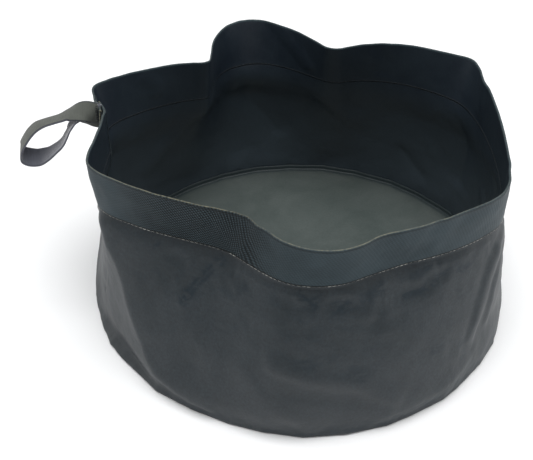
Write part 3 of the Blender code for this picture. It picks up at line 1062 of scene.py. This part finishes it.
@dataclass(frozen=True)
class Lap:
    """How a strip's two ends lie over each other at the side seam, the first end inside."""

    length: float = 12 * MM
    run: float = 8 * MM
    inward: float = 0.33 * MM
    outward: float = 0.33 * MM
    step: tuple[float, float] = (-2 * MM, 0.5 * MM)

    def first_end(self, lengths: np.ndarray) -> np.ndarray:
        """How far the strip's first end moves outwards at each length along the strip."""
        return -self.inward * ramp(self.length / 2 + self.run, self.length / 2, lengths)

    def last_end(self, lengths: np.ndarray, around: float) -> np.ndarray:
        """How far the strip's last end moves outwards at each length along the strip."""
        start = around - self.length / 2
        return self.outward * ramp(start - self.run, start, lengths)

    def shift(self, lengths: np.ndarray, around: float) -> np.ndarray:
        """How far the whole strip moves outwards at each length along it."""
        return self.first_end(lengths) + self.last_end(lengths, around)

    def inner_face(self, lengths: np.ndarray, around: float) -> np.ndarray:
        """How far the face seen from inside stands out.

        Args:
            lengths: Distances from the seam.
            around: The strip's length round the basin.

        Returns:
            The distance outwards at each length.
        """
        first = self.first_end(lengths)
        last = self.last_end(lengths + around, around)
        return last + (first - last) * ramp(*self.step, lengths + self.length / 2)


WALL_LAP = Lap()
HEM_LAP = Lap(inward=1.45 * MM, outward=1.3 * MM)


@dataclass
class WallCloth(Strip):
    """The wall: a slack strip of coated cloth, lapped at the side seam and welded to the floor."""

    columns: int = 660
    rows: int = 66
    thickness: float = CLOTH
    tucked_in: float = 3.6 * MM
    tucked_out: float = 0.65 * MM
    tuck_reach: tuple[float, float] = (0.1 * MM, 0.8 * MM)
    free_below_hem: tuple[float, float] = (0.5 * MM, 12 * MM)
    free_above_floor: tuple[float, float] = (1 * MM, 9 * MM)
    slack: float = 0.6 * MM
    slack_size: float = 26 * MM
    crumple: float = 0.9 * MM
    facet_size: float = 30 * MM
    gather: float = 1.3 * MM
    gather_size: float = 9 * MM
    gather_patch: float = 34 * MM
    gather_band: tuple[float, float, float, float] = (0.0, 5 * MM, 8 * MM, 34 * MM)
    pucker: float = 0.4 * MM
    pucker_size: float = 7 * MM
    pucker_band: tuple[float, float, float, float] = (0.0, 2 * MM, 4 * MM, 14 * MM)
    front_bend: float = 7 * MM
    back_bend: float = 31 * MM
    foot_row: float = 8 * MM
    line_row: float = 1 * MM
    lap_change: float = 40 * MM
    row_shares: tuple[float, ...] = (0.0, 0.08, 0.86, 1.0)
    flat: tuple[float, float] = field(init=False)

    def lift(self, angles: np.ndarray, heights: np.ndarray) -> np.ndarray:
        """How far folds, crumples, puckers and slack move the cloth outwards.

        Args:
            angles: Plan angles in degrees.
            heights: Heights above the ground.

        Returns:
            The movement of each place.
        """
        points = at_polar(angles, np.full(angles.shape, BASIN_RADIUS), heights)
        below_line = WALL_TOP - heights
        free = ramp(*self.free_below_hem, below_line) * ramp(*self.free_above_floor, heights)
        folded = sum(crease.lift(angles, heights) for crease in WALL_CREASES) * MM
        slack = self.slack * ripple(points, self.slack_size, 3)
        crumple = self.crumple * crumpled(points, self.facet_size, 1.7)
        patches = np.clip(0.5 + 1.2 * ripple(points, self.gather_patch, 1, 8.3), 0.0, 1.0)
        patches = patches * within(self.gather_band, below_line)
        gathers = self.gather * ripple(points, self.gather_size, 3, 3.7) * patches
        puckers = self.pucker * ripple(points, self.pucker_size, 2, 9.1)
        return (folded + slack + crumple) * free + gathers + puckers * within(self.pucker_band, heights)

    def radius(self, shape: BasinShape, angles: np.ndarray, heights: np.ndarray) -> np.ndarray:
        """Draw the wall's outside with its folds; its top slips in between the hem's layers.

        Args:
            shape: The outlines that it follows.
            angles: Plan angles in degrees.
            heights: Heights above the ground.

        Returns:
            The radius at each place.
        """
        radii = shape.wall_radius(angles, heights) + self.lift(angles, heights)
        line = shape.hem_radius(angles, heights) + self.thickness
        radii = radii + (line - radii) * self.near_top(angles, heights)
        return radii + self.tucked_out * ramp(*self.tuck_reach, heights - shape.hem_line)

    def near_top(self, angles: np.ndarray, heights: np.ndarray) -> np.ndarray:
        """How much the wall follows the hem: a short bend in front, and a long one at the back.

        Args:
            angles: Plan angles in degrees.
            heights: Heights above the ground.

        Returns:
            The share at each place, from 0 below to 1 at its top.
        """
        behind = ramp(-0.3, 0.4, np.sin(np.radians(angles)))
        bend = self.front_bend + (self.back_bend - self.front_bend) * behind
        return ramp(bend, self.line_row, WALL_TOP - heights)

    def lap_share(self, heights: np.ndarray) -> np.ndarray:
        """How far the side seam's lap has changed from the wall's to the hem's at each height."""
        return ramp(self.lap_change, self.line_row, WALL_TOP - heights)

    def build(self, shape: BasinShape, finishes: list[bpy.types.Material]) -> bpy.types.Object:
        """Model the wall.

        Args:
            shape: The outlines that it follows.
            finishes: Its outside and its inside.

        Returns:
            The wall's object.
        """
        bm, along, up = self.grid()
        around = shape.wall_spacing.around
        lengths = along * (around + WALL_LAP.length) - WALL_LAP.length / 2
        angles = shape.wall_spacing.angle(lengths)
        levels = (0.0, self.foot_row, WALL_TOP - self.line_row, WALL_TOP + self.tucked_in)
        heights = np.interp(up, self.row_shares, levels)
        low, high = WALL_LAP.shift(lengths, around), HEM_LAP.shift(lengths, around)
        radii = self.radius(shape, angles, heights) + low + (high - low) * self.lap_share(heights)
        self.place(bm, at_polar(angles, radii, heights), lengths, heights)
        wall = add_piece("wall_cloth", bm, finishes)
        # Painted shade marks, which the outside's finish reads
        painted_shade = sum(shade_mark.lift(angles, heights) for shade_mark in WALL_SHADE_MARKS)
        add_layer(wall, "shade_mark", np.clip(painted_shade, 0.0, 1.0))
        add_thickness(wall, self.thickness, -1.0, backed=True)
        self.flat = (around + WALL_LAP.length, WALL_TOP + self.tucked_in)
        return wall


@dataclass
class HemCloth(Strip):
    """The hem: the top of the wall's strip, folded out over itself and stitched down."""

    columns: int = 640
    rows: int = 56
    thickness: float = CLOTH
    inner_middle: float = 0.3 * MM
    flap_middle: float = 2.05 * MM
    fold_bend: float = 0.5 * MM
    pressed: float = 14 * MM
    slack: float = 0.34 * MM
    slack_size: float = 12 * MM
    free_above_line: tuple[float, float] = (1 * MM, 9 * MM)
    edge_wave: float = 0.3 * MM
    edge_wave_size: float = 16 * MM
    edge_wave_reach: tuple[float, float] = (4 * MM, 1 * MM)
    bent_and_shaded_at: float = -124.0
    bent_and_shaded_reach: float = 19.0
    fold_shares: tuple[float, float] = (0.50, 0.62)
    row_shares: tuple[float, ...] = (0.0, 0.07, 0.43, 0.50)
    edge_rows: float = 2.4 * MM
    fan: float = 0.4
    fan_at: float = -112.0
    fan_reach: float = 8.5
    woven_past_fold: float = 0.8 * MM
    rubbed: float = 0.30 * MM
    groove_at: float = 1.5 * MM
    groove: float = 0.5 * MM
    groove_shade: float = 0.8
    cut_edge: float = 1.0 * MM
    cut_shadow: tuple[float, float] = (1.5 * MM, 0.7 * MM)
    opened_off_fold: tuple[float, float] = (1.5 * MM, 5 * MM)
    opened_off_cut: tuple[float, float] = (0.0, 2 * MM)
    flat: tuple[float, float] = field(init=False)

    def section(
        self, up: np.ndarray, foot: np.ndarray, line: float
    ) -> tuple[np.ndarray, np.ndarray, np.ndarray, np.ndarray]:
        """The folded section, from the flap's cut edge over the fold to the inner layer's foot.

        Args:
            up: Share of the way along the strip's rows.
            foot: Height of the flap's cut edge.
            line: Height of the hem line.

        Returns:
            Each place's distance out from the hem's inside, its height, and the lengths of
            cloth to it from the cut edge and from the middle of the fold.
        """
        bend = self.fold_bend
        top = HEM_TOP - self.thickness / 2 - bend
        inner = top - line
        start, end = self.fold_shares
        turn = np.clip((up - start) / (end - start), 0.0, 1.0) * math.pi
        out = self.inner_middle + bend * (1 + np.cos(turn))
        flap = top - foot
        first, second, third = (np.interp(up, self.row_shares, steps) for steps in np.eye(4)[1:])
        risen = first * self.edge_rows + second * (flap - self.edge_rows) + third * flap
        fallen = inner * np.clip((up - end) / (1 - end), 0.0, 1.0)
        heights = foot + risen + bend * np.sin(turn) - fallen
        lengths = risen + bend * turn + fallen
        spread = self.flap_middle - self.inner_middle - 2 * bend
        out = out + np.where(up < start, spread * ramp(top, top - self.pressed, heights), 0.0)
        return out, heights, lengths, lengths - flap - bend * math.pi / 2

    def lift(self, shape: BasinShape, angles: np.ndarray, heights: np.ndarray) -> np.ndarray:
        """How far folds move both layers outwards."""
        free = ramp(*self.free_above_line, heights - shape.hem_line)
        return sum(crease.lift(angles, heights) for crease in HEM_CREASES) * MM * free

    def flap_lift(self, points: np.ndarray, out: np.ndarray) -> np.ndarray:
        """How far slack moves the flap off the inner layer."""
        free = ramp(self.inner_middle, self.flap_middle, out)
        return self.slack * (ripple(points, self.slack_size, 3, 5.3) * 0.7 + 0.25) * free

    def build(self, shape: BasinShape, finishes: list[bpy.types.Material]) -> bpy.types.Object:
        """Model the hem.

        Args:
            shape: The outlines that it follows.
            finishes: The flap's woven face, and the smoother one of the inside.

        Returns:
            The hem's object.
        """
        bm, along, up = self.grid()
        around = shape.hem_spacing.around
        lengths = along * (around + HEM_LAP.length) - HEM_LAP.length / 2
        angles = shape.hem_spacing.angle(lengths)
        out, heights, widths, past_fold = self.section(up, shape.flap_foot(angles), shape.hem_line)
        radii = shape.hem_radius(angles, heights) + out + HEM_LAP.shift(lengths, around)
        radii += self.lift(shape, angles, heights) + self.flap_lift(at_polar(angles, radii, heights), out)
        near_fold = ramp(*self.edge_wave_reach, HEM_TOP - heights)
        wave = ripple(at_polar(angles, radii, heights), self.edge_wave_size, 3, 2.2)
        heights = heights + self.edge_wave * near_fold * wave
        fanned = np.exp(-(((wrapped(angles, self.fan_at) - self.fan_at) / self.fan_reach) ** 2))
        lean = self.fan * fanned * np.clip(-past_fold, 0.0, None)
        self.place(bm, at_polar(angles, radii, heights), lengths + lean, widths)
        for face in bm.faces:
            face.material_index = int(past_fold[face.verts[0].index] > self.woven_past_fold)
        hem = add_piece("hem_cloth", bm, finishes)
        wear_and_shade = around_table(FOLD_RUB_SHARES, angles) * np.exp(-((past_fold / self.rubbed) ** 2))
        # Painted shade: a dark line below the fold, and a painted shadow along the flap's cut edge
        wear_and_shade -= self.groove_shade * np.exp(-(((past_fold + self.groove_at) / self.groove) ** 2))
        wear_and_shade -= ramp(*self.cut_shadow, widths)
        first_cut = ramp(self.cut_edge, 0.0, lengths + HEM_LAP.length / 2)
        last_cut = ramp(self.cut_edge, 0.0, around + HEM_LAP.length / 2 - lengths)
        marked = np.clip(wear_and_shade + first_cut + last_cut, -1.0, 1.0)
        # The hem's left in front is bent, and painted darker there as shade
        bent_and_shaded = np.exp(-(((wrapped(angles, self.bent_and_shaded_at) - self.bent_and_shaded_at) / self.bent_and_shaded_reach) ** 4))
        off_edges = ramp(*self.opened_off_fold, -past_fold) * ramp(*self.opened_off_cut, widths)
        add_layer(hem, "wear_and_shade", marked)
        add_layer(hem, "bent_and_shaded", bent_and_shaded * (0.35 + 0.65 * off_edges))
        add_thickness(hem, self.thickness, 0.0, backed=True)
        self.flat = (around + HEM_LAP.length, float(widths.max()))
        return hem


@dataclass
class FloorCloth:
    """The floor: a disc of heavier coated cloth, with its edge turned up for the weld."""

    steps: int = 240
    thickness: float = 0.7 * MM
    face: float = 1.1 * MM
    edge_radius: float = 148.0 * MM
    turned_up: float = 5.0 * MM
    bend: float = 1.6 * MM
    bend_steps: int = 4
    ring: float = 3.0 * MM
    sag: float = 0.6 * MM
    sag_size: float = 38 * MM
    held_rim: float = 12 * MM
    pull: float = 0.4 * MM
    pull_size: float = 9 * MM
    pull_reach: tuple[float, float] = (26 * MM, 6 * MM)
    inside_wall: float = 1.0 * MM
    widened_from_share: float = 0.6
    weld_shade_width: float = 4 * MM

    def section(self) -> list[tuple[float, float]]:
        """Draw the disc's section.

        Returns:
            Its corners as radii and heights, from the middle to the turned-up edge.
        """
        flat = self.edge_radius - self.bend
        count = round(flat / self.ring)
        level = [(flat * place / count, self.face) for place in range(count + 1)]
        turns = [math.pi / 2 * place / self.bend_steps for place in range(1, self.bend_steps + 1)]
        curved = [
            (flat + self.bend * math.sin(turn), self.face + self.bend * (1 - math.cos(turn)))
            for turn in turns
        ]
        return [*level, *curved, (self.edge_radius, self.turned_up)]

    def build(self, shape: BasinShape, finish: bpy.types.Material) -> bpy.types.Object:
        """Model the floor by spinning its section, then let its slack ripple.

        Args:
            shape: The outlines whose foot it fills.
            finish: Its material.

        Returns:
            The floor's object.
        """
        bm = bmesh.new()
        corners = [bm.verts.new((radius, 0.0, height)) for radius, height in self.section()]
        edges = [bm.edges.new(pair) for pair in zip(corners, corners[1:])]
        bmesh.ops.spin(
            bm, geom=[*corners, *edges], axis=UPWARD, angle=2 * math.pi, steps=self.steps, use_merge=True
        )
        bmesh.ops.remove_doubles(bm, verts=bm.verts, dist=MERGE)
        bmesh.ops.recalc_face_normals(bm, faces=bm.faces)
        if sum(face.normal.z for face in bm.faces) < 0:
            bmesh.ops.reverse_faces(bm, faces=bm.faces)
        points = np.array([vert.co for vert in bm.verts])
        reach = np.hypot(points[:, 0], points[:, 1])
        angles = np.degrees(np.arctan2(points[:, 1], points[:, 0]))
        heights = np.full(reach.shape, self.turned_up)
        wall = WallCloth()
        edge = wall.radius(shape, angles, heights) - wall.thickness - self.inside_wall
        flat = self.edge_radius - self.bend
        widened = ramp(self.edge_radius * self.widened_from_share, flat, reach)
        wider = reach + (edge - self.edge_radius) * widened
        inward = flat - reach
        waves = np.clip(self.sag * (0.6 + ripple(points, self.sag_size, 3, 1.3)), 0.0, None)
        pulled = self.pull * ripple(points, self.pull_size, 2, 6.1) * ramp(*self.pull_reach, inward)
        raised = (waves + np.clip(pulled, 0.0, None)) * ramp(0.0, self.held_rim, inward)
        layer = bm.loops.layers.uv.new("cloth")
        for vert, point in zip(bm.verts, at_polar(angles, wider, points[:, 2] + raised)):
            vert.co = point
        for face in bm.faces:
            for loop in face.loops:
                loop[layer].uv = loop.vert.co.xy
        floor = add_piece("floor_cloth", bm, [finish])
        # Painted shade on the ring by the wall, where the weld is
        add_layer(floor, "weld_shade", ramp(self.weld_shade_width, 0.0, inward))
        add_thickness(floor, self.thickness, -1.0)
        return floor


@dataclass
class SeamTape(Strip):
    """Film tape that seals the side seam inside: a length on the wall and one on the hem."""

    columns: int = 24
    rows: int = 60
    width: float = 20 * MM
    middle: float = -6 * MM
    thickness: float = 0.35 * MM
    stand_off: float = 0.12 * MM
    thin_edge: float = 1.2 * MM
    above_floor: float = 4 * MM
    below_fold: float = 2.2 * MM
    join_gap: float = 0.4 * MM

    def _strip(
        self, name: str, shape: BasinShape, low: float, high: float, finish: bpy.types.Material
    ) -> bpy.types.Object:
        """Model one length of the tape.

        Args:
            name: The piece's name.
            shape: The outlines that it follows.
            low: The height where it starts.
            high: The height where it ends.
            finish: The film's material.

        Returns:
            The length's object.
        """
        bm, along, up = self.grid()
        across = (along - 0.5) * self.width
        lengths = self.middle + across
        heights = low + (high - low) * up
        wall, hem = WallCloth(), HemCloth()
        if high < WALL_TOP:
            spacing = shape.wall_spacing
            angles = spacing.angle(lengths)
            wide, narrow = (lap.inner_face(lengths, spacing.around) for lap in (HEM_LAP, WALL_LAP))
            radii = wall.radius(shape, angles, heights) - wall.thickness
            radii += narrow + (wide - narrow) * wall.lap_share(heights)
        else:
            spacing = shape.hem_spacing
            angles = spacing.angle(lengths)
            radii = shape.hem_radius(angles, heights) + hem.lift(shape, angles, heights)
            radii += HEM_LAP.inner_face(lengths, spacing.around)
        edge = ramp(self.width / 2 - self.thin_edge, self.width / 2, np.abs(across))
        radii -= self.stand_off + self.thickness * (1 - 0.5 * edge)
        self.place(bm, at_polar(angles, radii, heights), lengths, heights)
        tape = add_piece(name, bm, [finish])
        add_thickness(tape, self.thickness, 0.0)
        return tape

    def build(
        self, shape: BasinShape, finish: bpy.types.Material
    ) -> tuple[bpy.types.Object, bpy.types.Object]:
        """Model the tape.

        Args:
            shape: The outlines that it follows.
            finish: The film's material.

        Returns:
            The length on the wall and the length on the hem.
        """
        foot, join = FLOOR_EDGE_TOP + self.above_floor, WALL_TOP - self.join_gap / 2
        lower = self._strip("wall_seam_tape", shape, foot, join, finish)
        upper = self._strip("hem_seam_tape", shape, join + self.join_gap, HEM_TOP - self.below_fold, finish)
        return lower, upper


# The loop's middle line: outward, rise and sideways as shares of its reach, and the turn of the
# tape's width from level to upright, in degrees
LOOP_ROUTE_SHARES = (
    (0.000, 0.000, -0.014, 90.0), (0.074, 0.040, -0.026, 70.0), (0.169, 0.076, -0.028, 44.0),
    (0.267, 0.062, 0.010, 18.0), (0.371, 0.019, 0.060, -4.0), (0.475, -0.018, 0.068, -11.0),
    (0.594, -0.036, 0.068, -12.0), (0.710, -0.057, 0.070, -11.0), (0.809, -0.088, 0.063, -7.0),
    (0.897, -0.150, 0.047, -5.0), (0.974, -0.226, 0.017, -5.0), (1.025, -0.294, -0.012, -5.0),
    (1.048, -0.375, -0.019, -10.0), (1.022, -0.434, -0.018, -23.0), (0.943, -0.481, -0.019, -27.0),
    (0.839, -0.494, -0.037, -17.0), (0.730, -0.445, -0.076, -2.0), (0.614, -0.369, -0.087, 7.0),
    (0.519, -0.297, -0.083, 10.0), (0.450, -0.211, -0.058, 11.0), (0.393, -0.129, -0.034, 13.0),
    (0.328, -0.082, 0.012, 18.0), (0.246, -0.070, 0.044, 32.0), (0.165, -0.080, 0.058, 56.0),
    (0.078, -0.084, 0.038, 80.0), (0.000, -0.085, 0.014, 90.0),
)


@dataclass
class HangingLoop(Strip):
    """The hanging loop: one length of woven tape, folded, with both ends sewn in at the seam."""

    columns: int = 260
    rows: int = 12
    reach: float = 54 * MM
    width: float = 15 * MM
    thickness: float = 1.1 * MM
    bend: float = 1.5 * MM
    sewn_in: float = 2.6 * MM
    dished: float = 0.35 * MM
    outward: Vector = field(default_factory=lambda: Vector((-0.9352, -0.3541, 0.0)))
    root: Vector = field(init=False)
    length: float = field(init=False)

    def route(self, root: np.ndarray) -> tuple[np.ndarray, np.ndarray, np.ndarray]:
        """Follow the tape's middle line.

        Args:
            root: Where the tape leaves the seam.

        Returns:
            Points along the line, and at each the ways across the tape and off its face.
        """
        out_way, up_way = np.array(self.outward), np.array(UPWARD)
        side_way = np.cross(out_way, up_way)
        knots = np.array(LOOP_ROUTE_SHARES)
        inside = knots[[0, -1]].copy()
        inside[:, 0] = -self.sewn_in / self.reach
        knots = np.vstack((inside[:1], knots, inside[1:]))
        read = np.linspace(0.0, 1.0, self.columns + 1)
        places = np.linspace(0.0, 1.0, len(knots))
        out, rise, sideways, turned = (smooth(places, knots[:, item], read)[:, None] for item in range(4))
        line = root + self.reach * (out * out_way + rise * up_way + sideways * side_way)
        run = np.gradient(line, axis=0)
        run /= np.linalg.norm(run, axis=1, keepdims=True)
        level = side_way - run * (run @ side_way)[:, None]
        level /= np.linalg.norm(level, axis=1, keepdims=True)
        upright = np.cross(level, run)
        turn = np.radians(turned)
        across = level * np.cos(turn) + upright * np.sin(turn)
        return line, across, np.cross(across, run)

    def build(self, finishes: list[bpy.types.Material]) -> bpy.types.Object:
        """Model the loop along its route, from its hinge in the frame outwards.

        Args:
            finishes: The tape's inner face and its outer face.

        Returns:
            The loop's object.
        """
        joint = next(joint for joint in frame["joints"] if joint["name"] == "loop_swing")
        root = np.array(joint["pos_m"]) - np.array(self.outward) * self.bend
        line, across_way, face_way = self.route(root)
        bm, along, across = self.grid()
        column = np.round(along * self.columns).astype(int)
        sideways = (across - 0.5) * self.width
        hollow = self.dished * (1 - (2 * across - 1) ** 2)
        points = line[column] + across_way[column] * sideways[:, None]
        points += face_way[column] * hollow[:, None]
        lengths = np.concatenate(([0.0], np.cumsum(np.linalg.norm(np.diff(line, axis=0), axis=1))))
        self.place(bm, points, lengths[column], sideways)
        loop = add_piece("hanging_loop_tape", bm, finishes)
        add_thickness(loop, self.thickness, 0.0, backed=True)
        self.root = Vector(root)
        self.length = float(lengths[-1])
        return loop


@dataclass
class Stitching:
    """Lock stitches: short lengths of thread that dip into the cloth at both ends."""

    pitch: float = 3.1 * MM
    length: float = 2.8 * MM
    thread: float = 0.6 * MM
    sides: int = 6
    sunk: float = 0.15 * MM
    wander_size: float = 9 * MM
    tack_rows: int = 9
    tack_length: float = 2.4 * MM
    tack_run: float = 2.2 * MM
    tack_lean: float = 0.7 * MM
    tack_out: float = 0.9 * MM
    tack_off: float = 0.95 * MM
    tack_margins: float = 3 * MM
    tack_offset: float = 0.8 * MM

    def __post_init__(self) -> None:
        """Make the one stitch that the others are copies of, a unit ball drawn out on +Z."""
        bm = bmesh.new()
        bmesh.ops.create_uvsphere(bm, u_segments=self.sides, v_segments=self.sides, radius=1.0)
        self._stitch = bpy.data.meshes.new("stitch")
        bm.to_mesh(self._stitch)
        bm.free()

    def add_stitch(
        self, bm: bmesh.types.BMesh, place: Vector, along: Vector, outward: Vector, length: float
    ) -> None:
        """Add one stitch.

        Args:
            bm: The mesh that gets it.
            place: The middle of the stitch, on the cloth's face.
            along: The way it runs.
            outward: The way off the cloth.
            length: Its length.
        """
        way = along.normalized()
        side = outward.cross(way).normalized()
        turn = Matrix((side, way.cross(side), way)).transposed().to_4x4()
        stretch = Matrix.Diagonal((self.thread / 2, self.thread / 2, length / 2, 1.0))
        stitch = self._stitch.copy()
        stitch.transform(Matrix.Translation(place) @ turn @ stretch)
        bm.from_mesh(stitch)
        bpy.data.meshes.remove(stitch)

    def ring(
        self, name: str, shape: BasinShape, level: Callable[[np.ndarray], np.ndarray], out: float,
        finish: bpy.types.Material, slant: float,
    ) -> bpy.types.Object:
        """Run a line of stitches round the hem.

        Args:
            name: The piece's name.
            shape: The outlines that it follows.
            level: How high the line runs at each plan angle.
            out: How far outside the hem's inner face the thread lies.
            finish: The thread's material.
            slant: How much each stitch leans, as a share of its length.

        Returns:
            The stitches' object.
        """
        around = shape.hem_spacing.around
        count = round(around / self.pitch)
        places = (np.arange(count) + 0.5) * around / count
        half = self.length / 2
        hem = HemCloth()
        bm = bmesh.new()
        ends = []
        for shift in (-half, half):
            angles = shape.hem_spacing.angle(places + shift)
            levels = level(angles)
            radii = shape.hem_radius(angles, levels) + hem.lift(shape, angles, levels) + out
            radii += HEM_LAP.shift(places + shift, around)
            ends.append(at_polar(angles, radii, levels))
        middles = (ends[0] + ends[1]) / 2
        for index, middle in enumerate(middles):
            run = Vector(ends[1][index] - ends[0][index])
            outward = run.cross(UPWARD).normalized()
            wander = noise.noise(Vector(middle) / self.wander_size)
            run.z += self.length * slant * (1 + wander)
            reach = self.length * (1 + 0.25 * wander)
            self.add_stitch(bm, Vector(middle), run, outward, reach)
        return add_piece(name, bm, [finish])

    def bar_tack(self, name: str, loop: HangingLoop, finish: bpy.types.Material) -> bpy.types.Object:
        """Sew close zigzag stitches over the loop's two sewn-in ends.

        Args:
            name: The piece's name.
            loop: The loop, once it is built.
            finish: The thread's material.

        Returns:
            The stitches' object.
        """
        bm = bmesh.new()
        side = loop.outward.cross(UPWARD)
        for face in (-1, 1):
            start = loop.root + loop.outward * self.tack_out + side * face * (loop.thickness + self.tack_off)
            for row in range(self.tack_rows):
                height = (row / (self.tack_rows - 1) - 0.5) * (loop.width - self.tack_margins)
                place = start + UPWARD * (height - self.tack_offset * face)
                along = loop.outward * self.tack_run + UPWARD * self.tack_lean * (1 if row % 2 else -1)
                self.add_stitch(bm, place, along, side * face, self.tack_length)
        return add_piece(name, bm, [finish])


@dataclass(frozen=True)
class AreaLight:
    """A soft light panel."""

    name: str
    place: tuple[float, float, float]
    aim: tuple[float, float, float]
    size: tuple[float, float]
    power: float
    colour: tuple[float, float, float] = (1.0, 1.0, 1.0)

    def add(self) -> None:
        """Put the panel in the scene."""
        data = bpy.data.lights.new(self.name, "AREA")
        data.shape = "RECTANGLE"
        data.size, data.size_y = self.size
        data.energy = self.power
        data.color = self.colour
        lamp = bpy.data.objects.new(self.name, data)
        lamp.location = self.place
        way = Vector(self.aim) - Vector(self.place)
        lamp.rotation_euler = way.to_track_quat("-Z", "Y").to_euler()
        bpy.context.scene.collection.objects.link(lamp)


@dataclass
class Studio:
    """The white surroundings, the lights and the camera at the photograph's place."""

    eye: tuple[float, float, float] = (0.0, -0.5657, 0.5117)
    forward: tuple[float, float, float] = (-0.0372, 0.7748, -0.6311)
    lens_mm: float = 66.5
    sensor_mm: float = 36.0
    paper: float = 12.0
    paper_drop: float = 0.2 * MM
    sky: float = 0.50
    lights: tuple[AreaLight, ...] = (
        AreaLight("top_panel", (0.0, -0.10, 1.4), (0.0, 0.0, 0.0), (1.2, 1.2), 20.0),
        AreaLight("left_panel", (-1.2, 0.2, 0.45), (0.0, 0.0, 0.08), (0.7, 1.2), 2.2, (1.0, 0.97, 0.94)),
        AreaLight("right_panel", (1.2, 0.1, 0.45), (0.0, 0.0, 0.08), (0.7, 1.2), 6.0, (1.0, 0.97, 0.95)),
    )

    def build(self) -> None:
        """Set up the world, the paper, the lights and the camera."""
        scene = bpy.context.scene
        scene.view_settings.view_transform = "Standard"
        world = bpy.data.worlds.new("white_room")
        world.use_nodes = True
        wire(
            world.node_tree, world.node_tree.nodes["Background"],
            {"Strength": self.sky, "Color": (1.0, 1.0, 1.0, 1.0)},
        )
        scene.world = world
        bm = bmesh.new()
        bmesh.ops.create_grid(bm, x_segments=1, y_segments=1, size=self.paper / 2)
        bmesh.ops.translate(bm, verts=bm.verts, vec=(0.0, 0.0, -self.paper_drop))
        add_piece("studio_floor", bm, [StudioPaper().material()])
        for light in self.lights:
            light.add()
        data = bpy.data.cameras.new("camera")
        data.lens = self.lens_mm
        data.sensor_width = self.sensor_mm
        camera = bpy.data.objects.new("camera", data)
        camera.location = self.eye
        camera.rotation_euler = Vector(self.forward).to_track_quat("-Z", "Y").to_euler()
        scene.collection.objects.link(camera)
        scene.camera = camera


def main() -> None:
    """Build the studio and every piece of the basin."""
    logging.basicConfig(level=logging.INFO, format="%(message)s")
    Studio().build()
    shape = BasinShape()

    outside = CoatedCloth(
        "satin_coated_polyester", "151f24", "222a2f", 0.47, specular=0.43, speckle=0.28, shade_smudge=0.55,
        painted_light_below="2c3135",
    ).material()
    # The inside is painted lighter towards the floor
    inside = CoatedCloth(
        "coated_polyester_inside", "19212a", "212a32", 0.36, mottle=40 * MM, wrinkle=0.3, painted_light_below="48535a",
        painted_shading_reach=(112 * MM, 25 * MM),
    ).material()
    # The floor's coat is lighter than the wall's: painted light on the floor
    floor_finish = CoatedCloth(
        "coated_polyester_floor", "48504e", "555c5a", 0.36, specular=0.25, mottle=50 * MM, wrinkle=0.3,
        weld_shade="30393b",
    ).material()
    woven = WovenBack().material()
    film = CoatedCloth("heat_sealed_film_tape", "2a3236", "323a3e", 0.30, grid=0.0).material()
    webbing = [
        WovenTape("woven_polyester_tape_inner_face", "3f4249", "595b65", "494b55", sheen=0.5).material(),
        WovenTape("woven_polyester_tape", "3f423e", "525550", "303336").material(),
    ]
    thread = SpunThread("spun_polyester_thread", "454745", "b9bab4", 6 * MM).material()
    bobbin = SpunThread("bobbin_thread", "10161b", "171d22").material()

    wall = WallCloth()
    wall_piece = wall.build(shape, [outside, inside])
    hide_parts("wall_panel")

    hem = HemCloth()
    hem_piece = hem.build(shape, [woven, inside])
    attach(hem_piece, "rim")
    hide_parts("rim_hem")

    floor = FloorCloth()
    floor_piece = floor.build(shape, floor_finish)
    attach(floor_piece, "basin")
    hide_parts("floor_disc")

    lower, upper = SeamTape().build(shape, film)
    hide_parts("side_seam_tape")
    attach(upper, "rim")
    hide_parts("rim_seam_tape")

    # The wall and the tape on it ride with the basin, each with a mesh of its own; on the real basin they
    # crumple towards the floor as the hem sinks
    for piece in (wall_piece, lower):
        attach(piece, "basin")
        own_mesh(piece)

    loop = HangingLoop()
    loop_piece = loop.build(webbing)
    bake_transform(loop_piece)
    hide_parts("hanging_loop")

    stitching = Stitching()
    outer_face = hem.flap_middle + hem.thickness / 2 - stitching.sunk
    seams = [
        stitching.ring("hem_stitches", shape, shape.stitch_line, outer_face, thread, slant=0.06),
        stitching.ring("hem_bobbin_stitches", shape, shape.bobbin_line, 0.0, bobbin, slant=0.0),
        stitching.bar_tack("loop_bar_tack", loop, bobbin),
    ]
    for seam in seams:
        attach(seam, "rim")


if __name__ == "__main__":
    main()
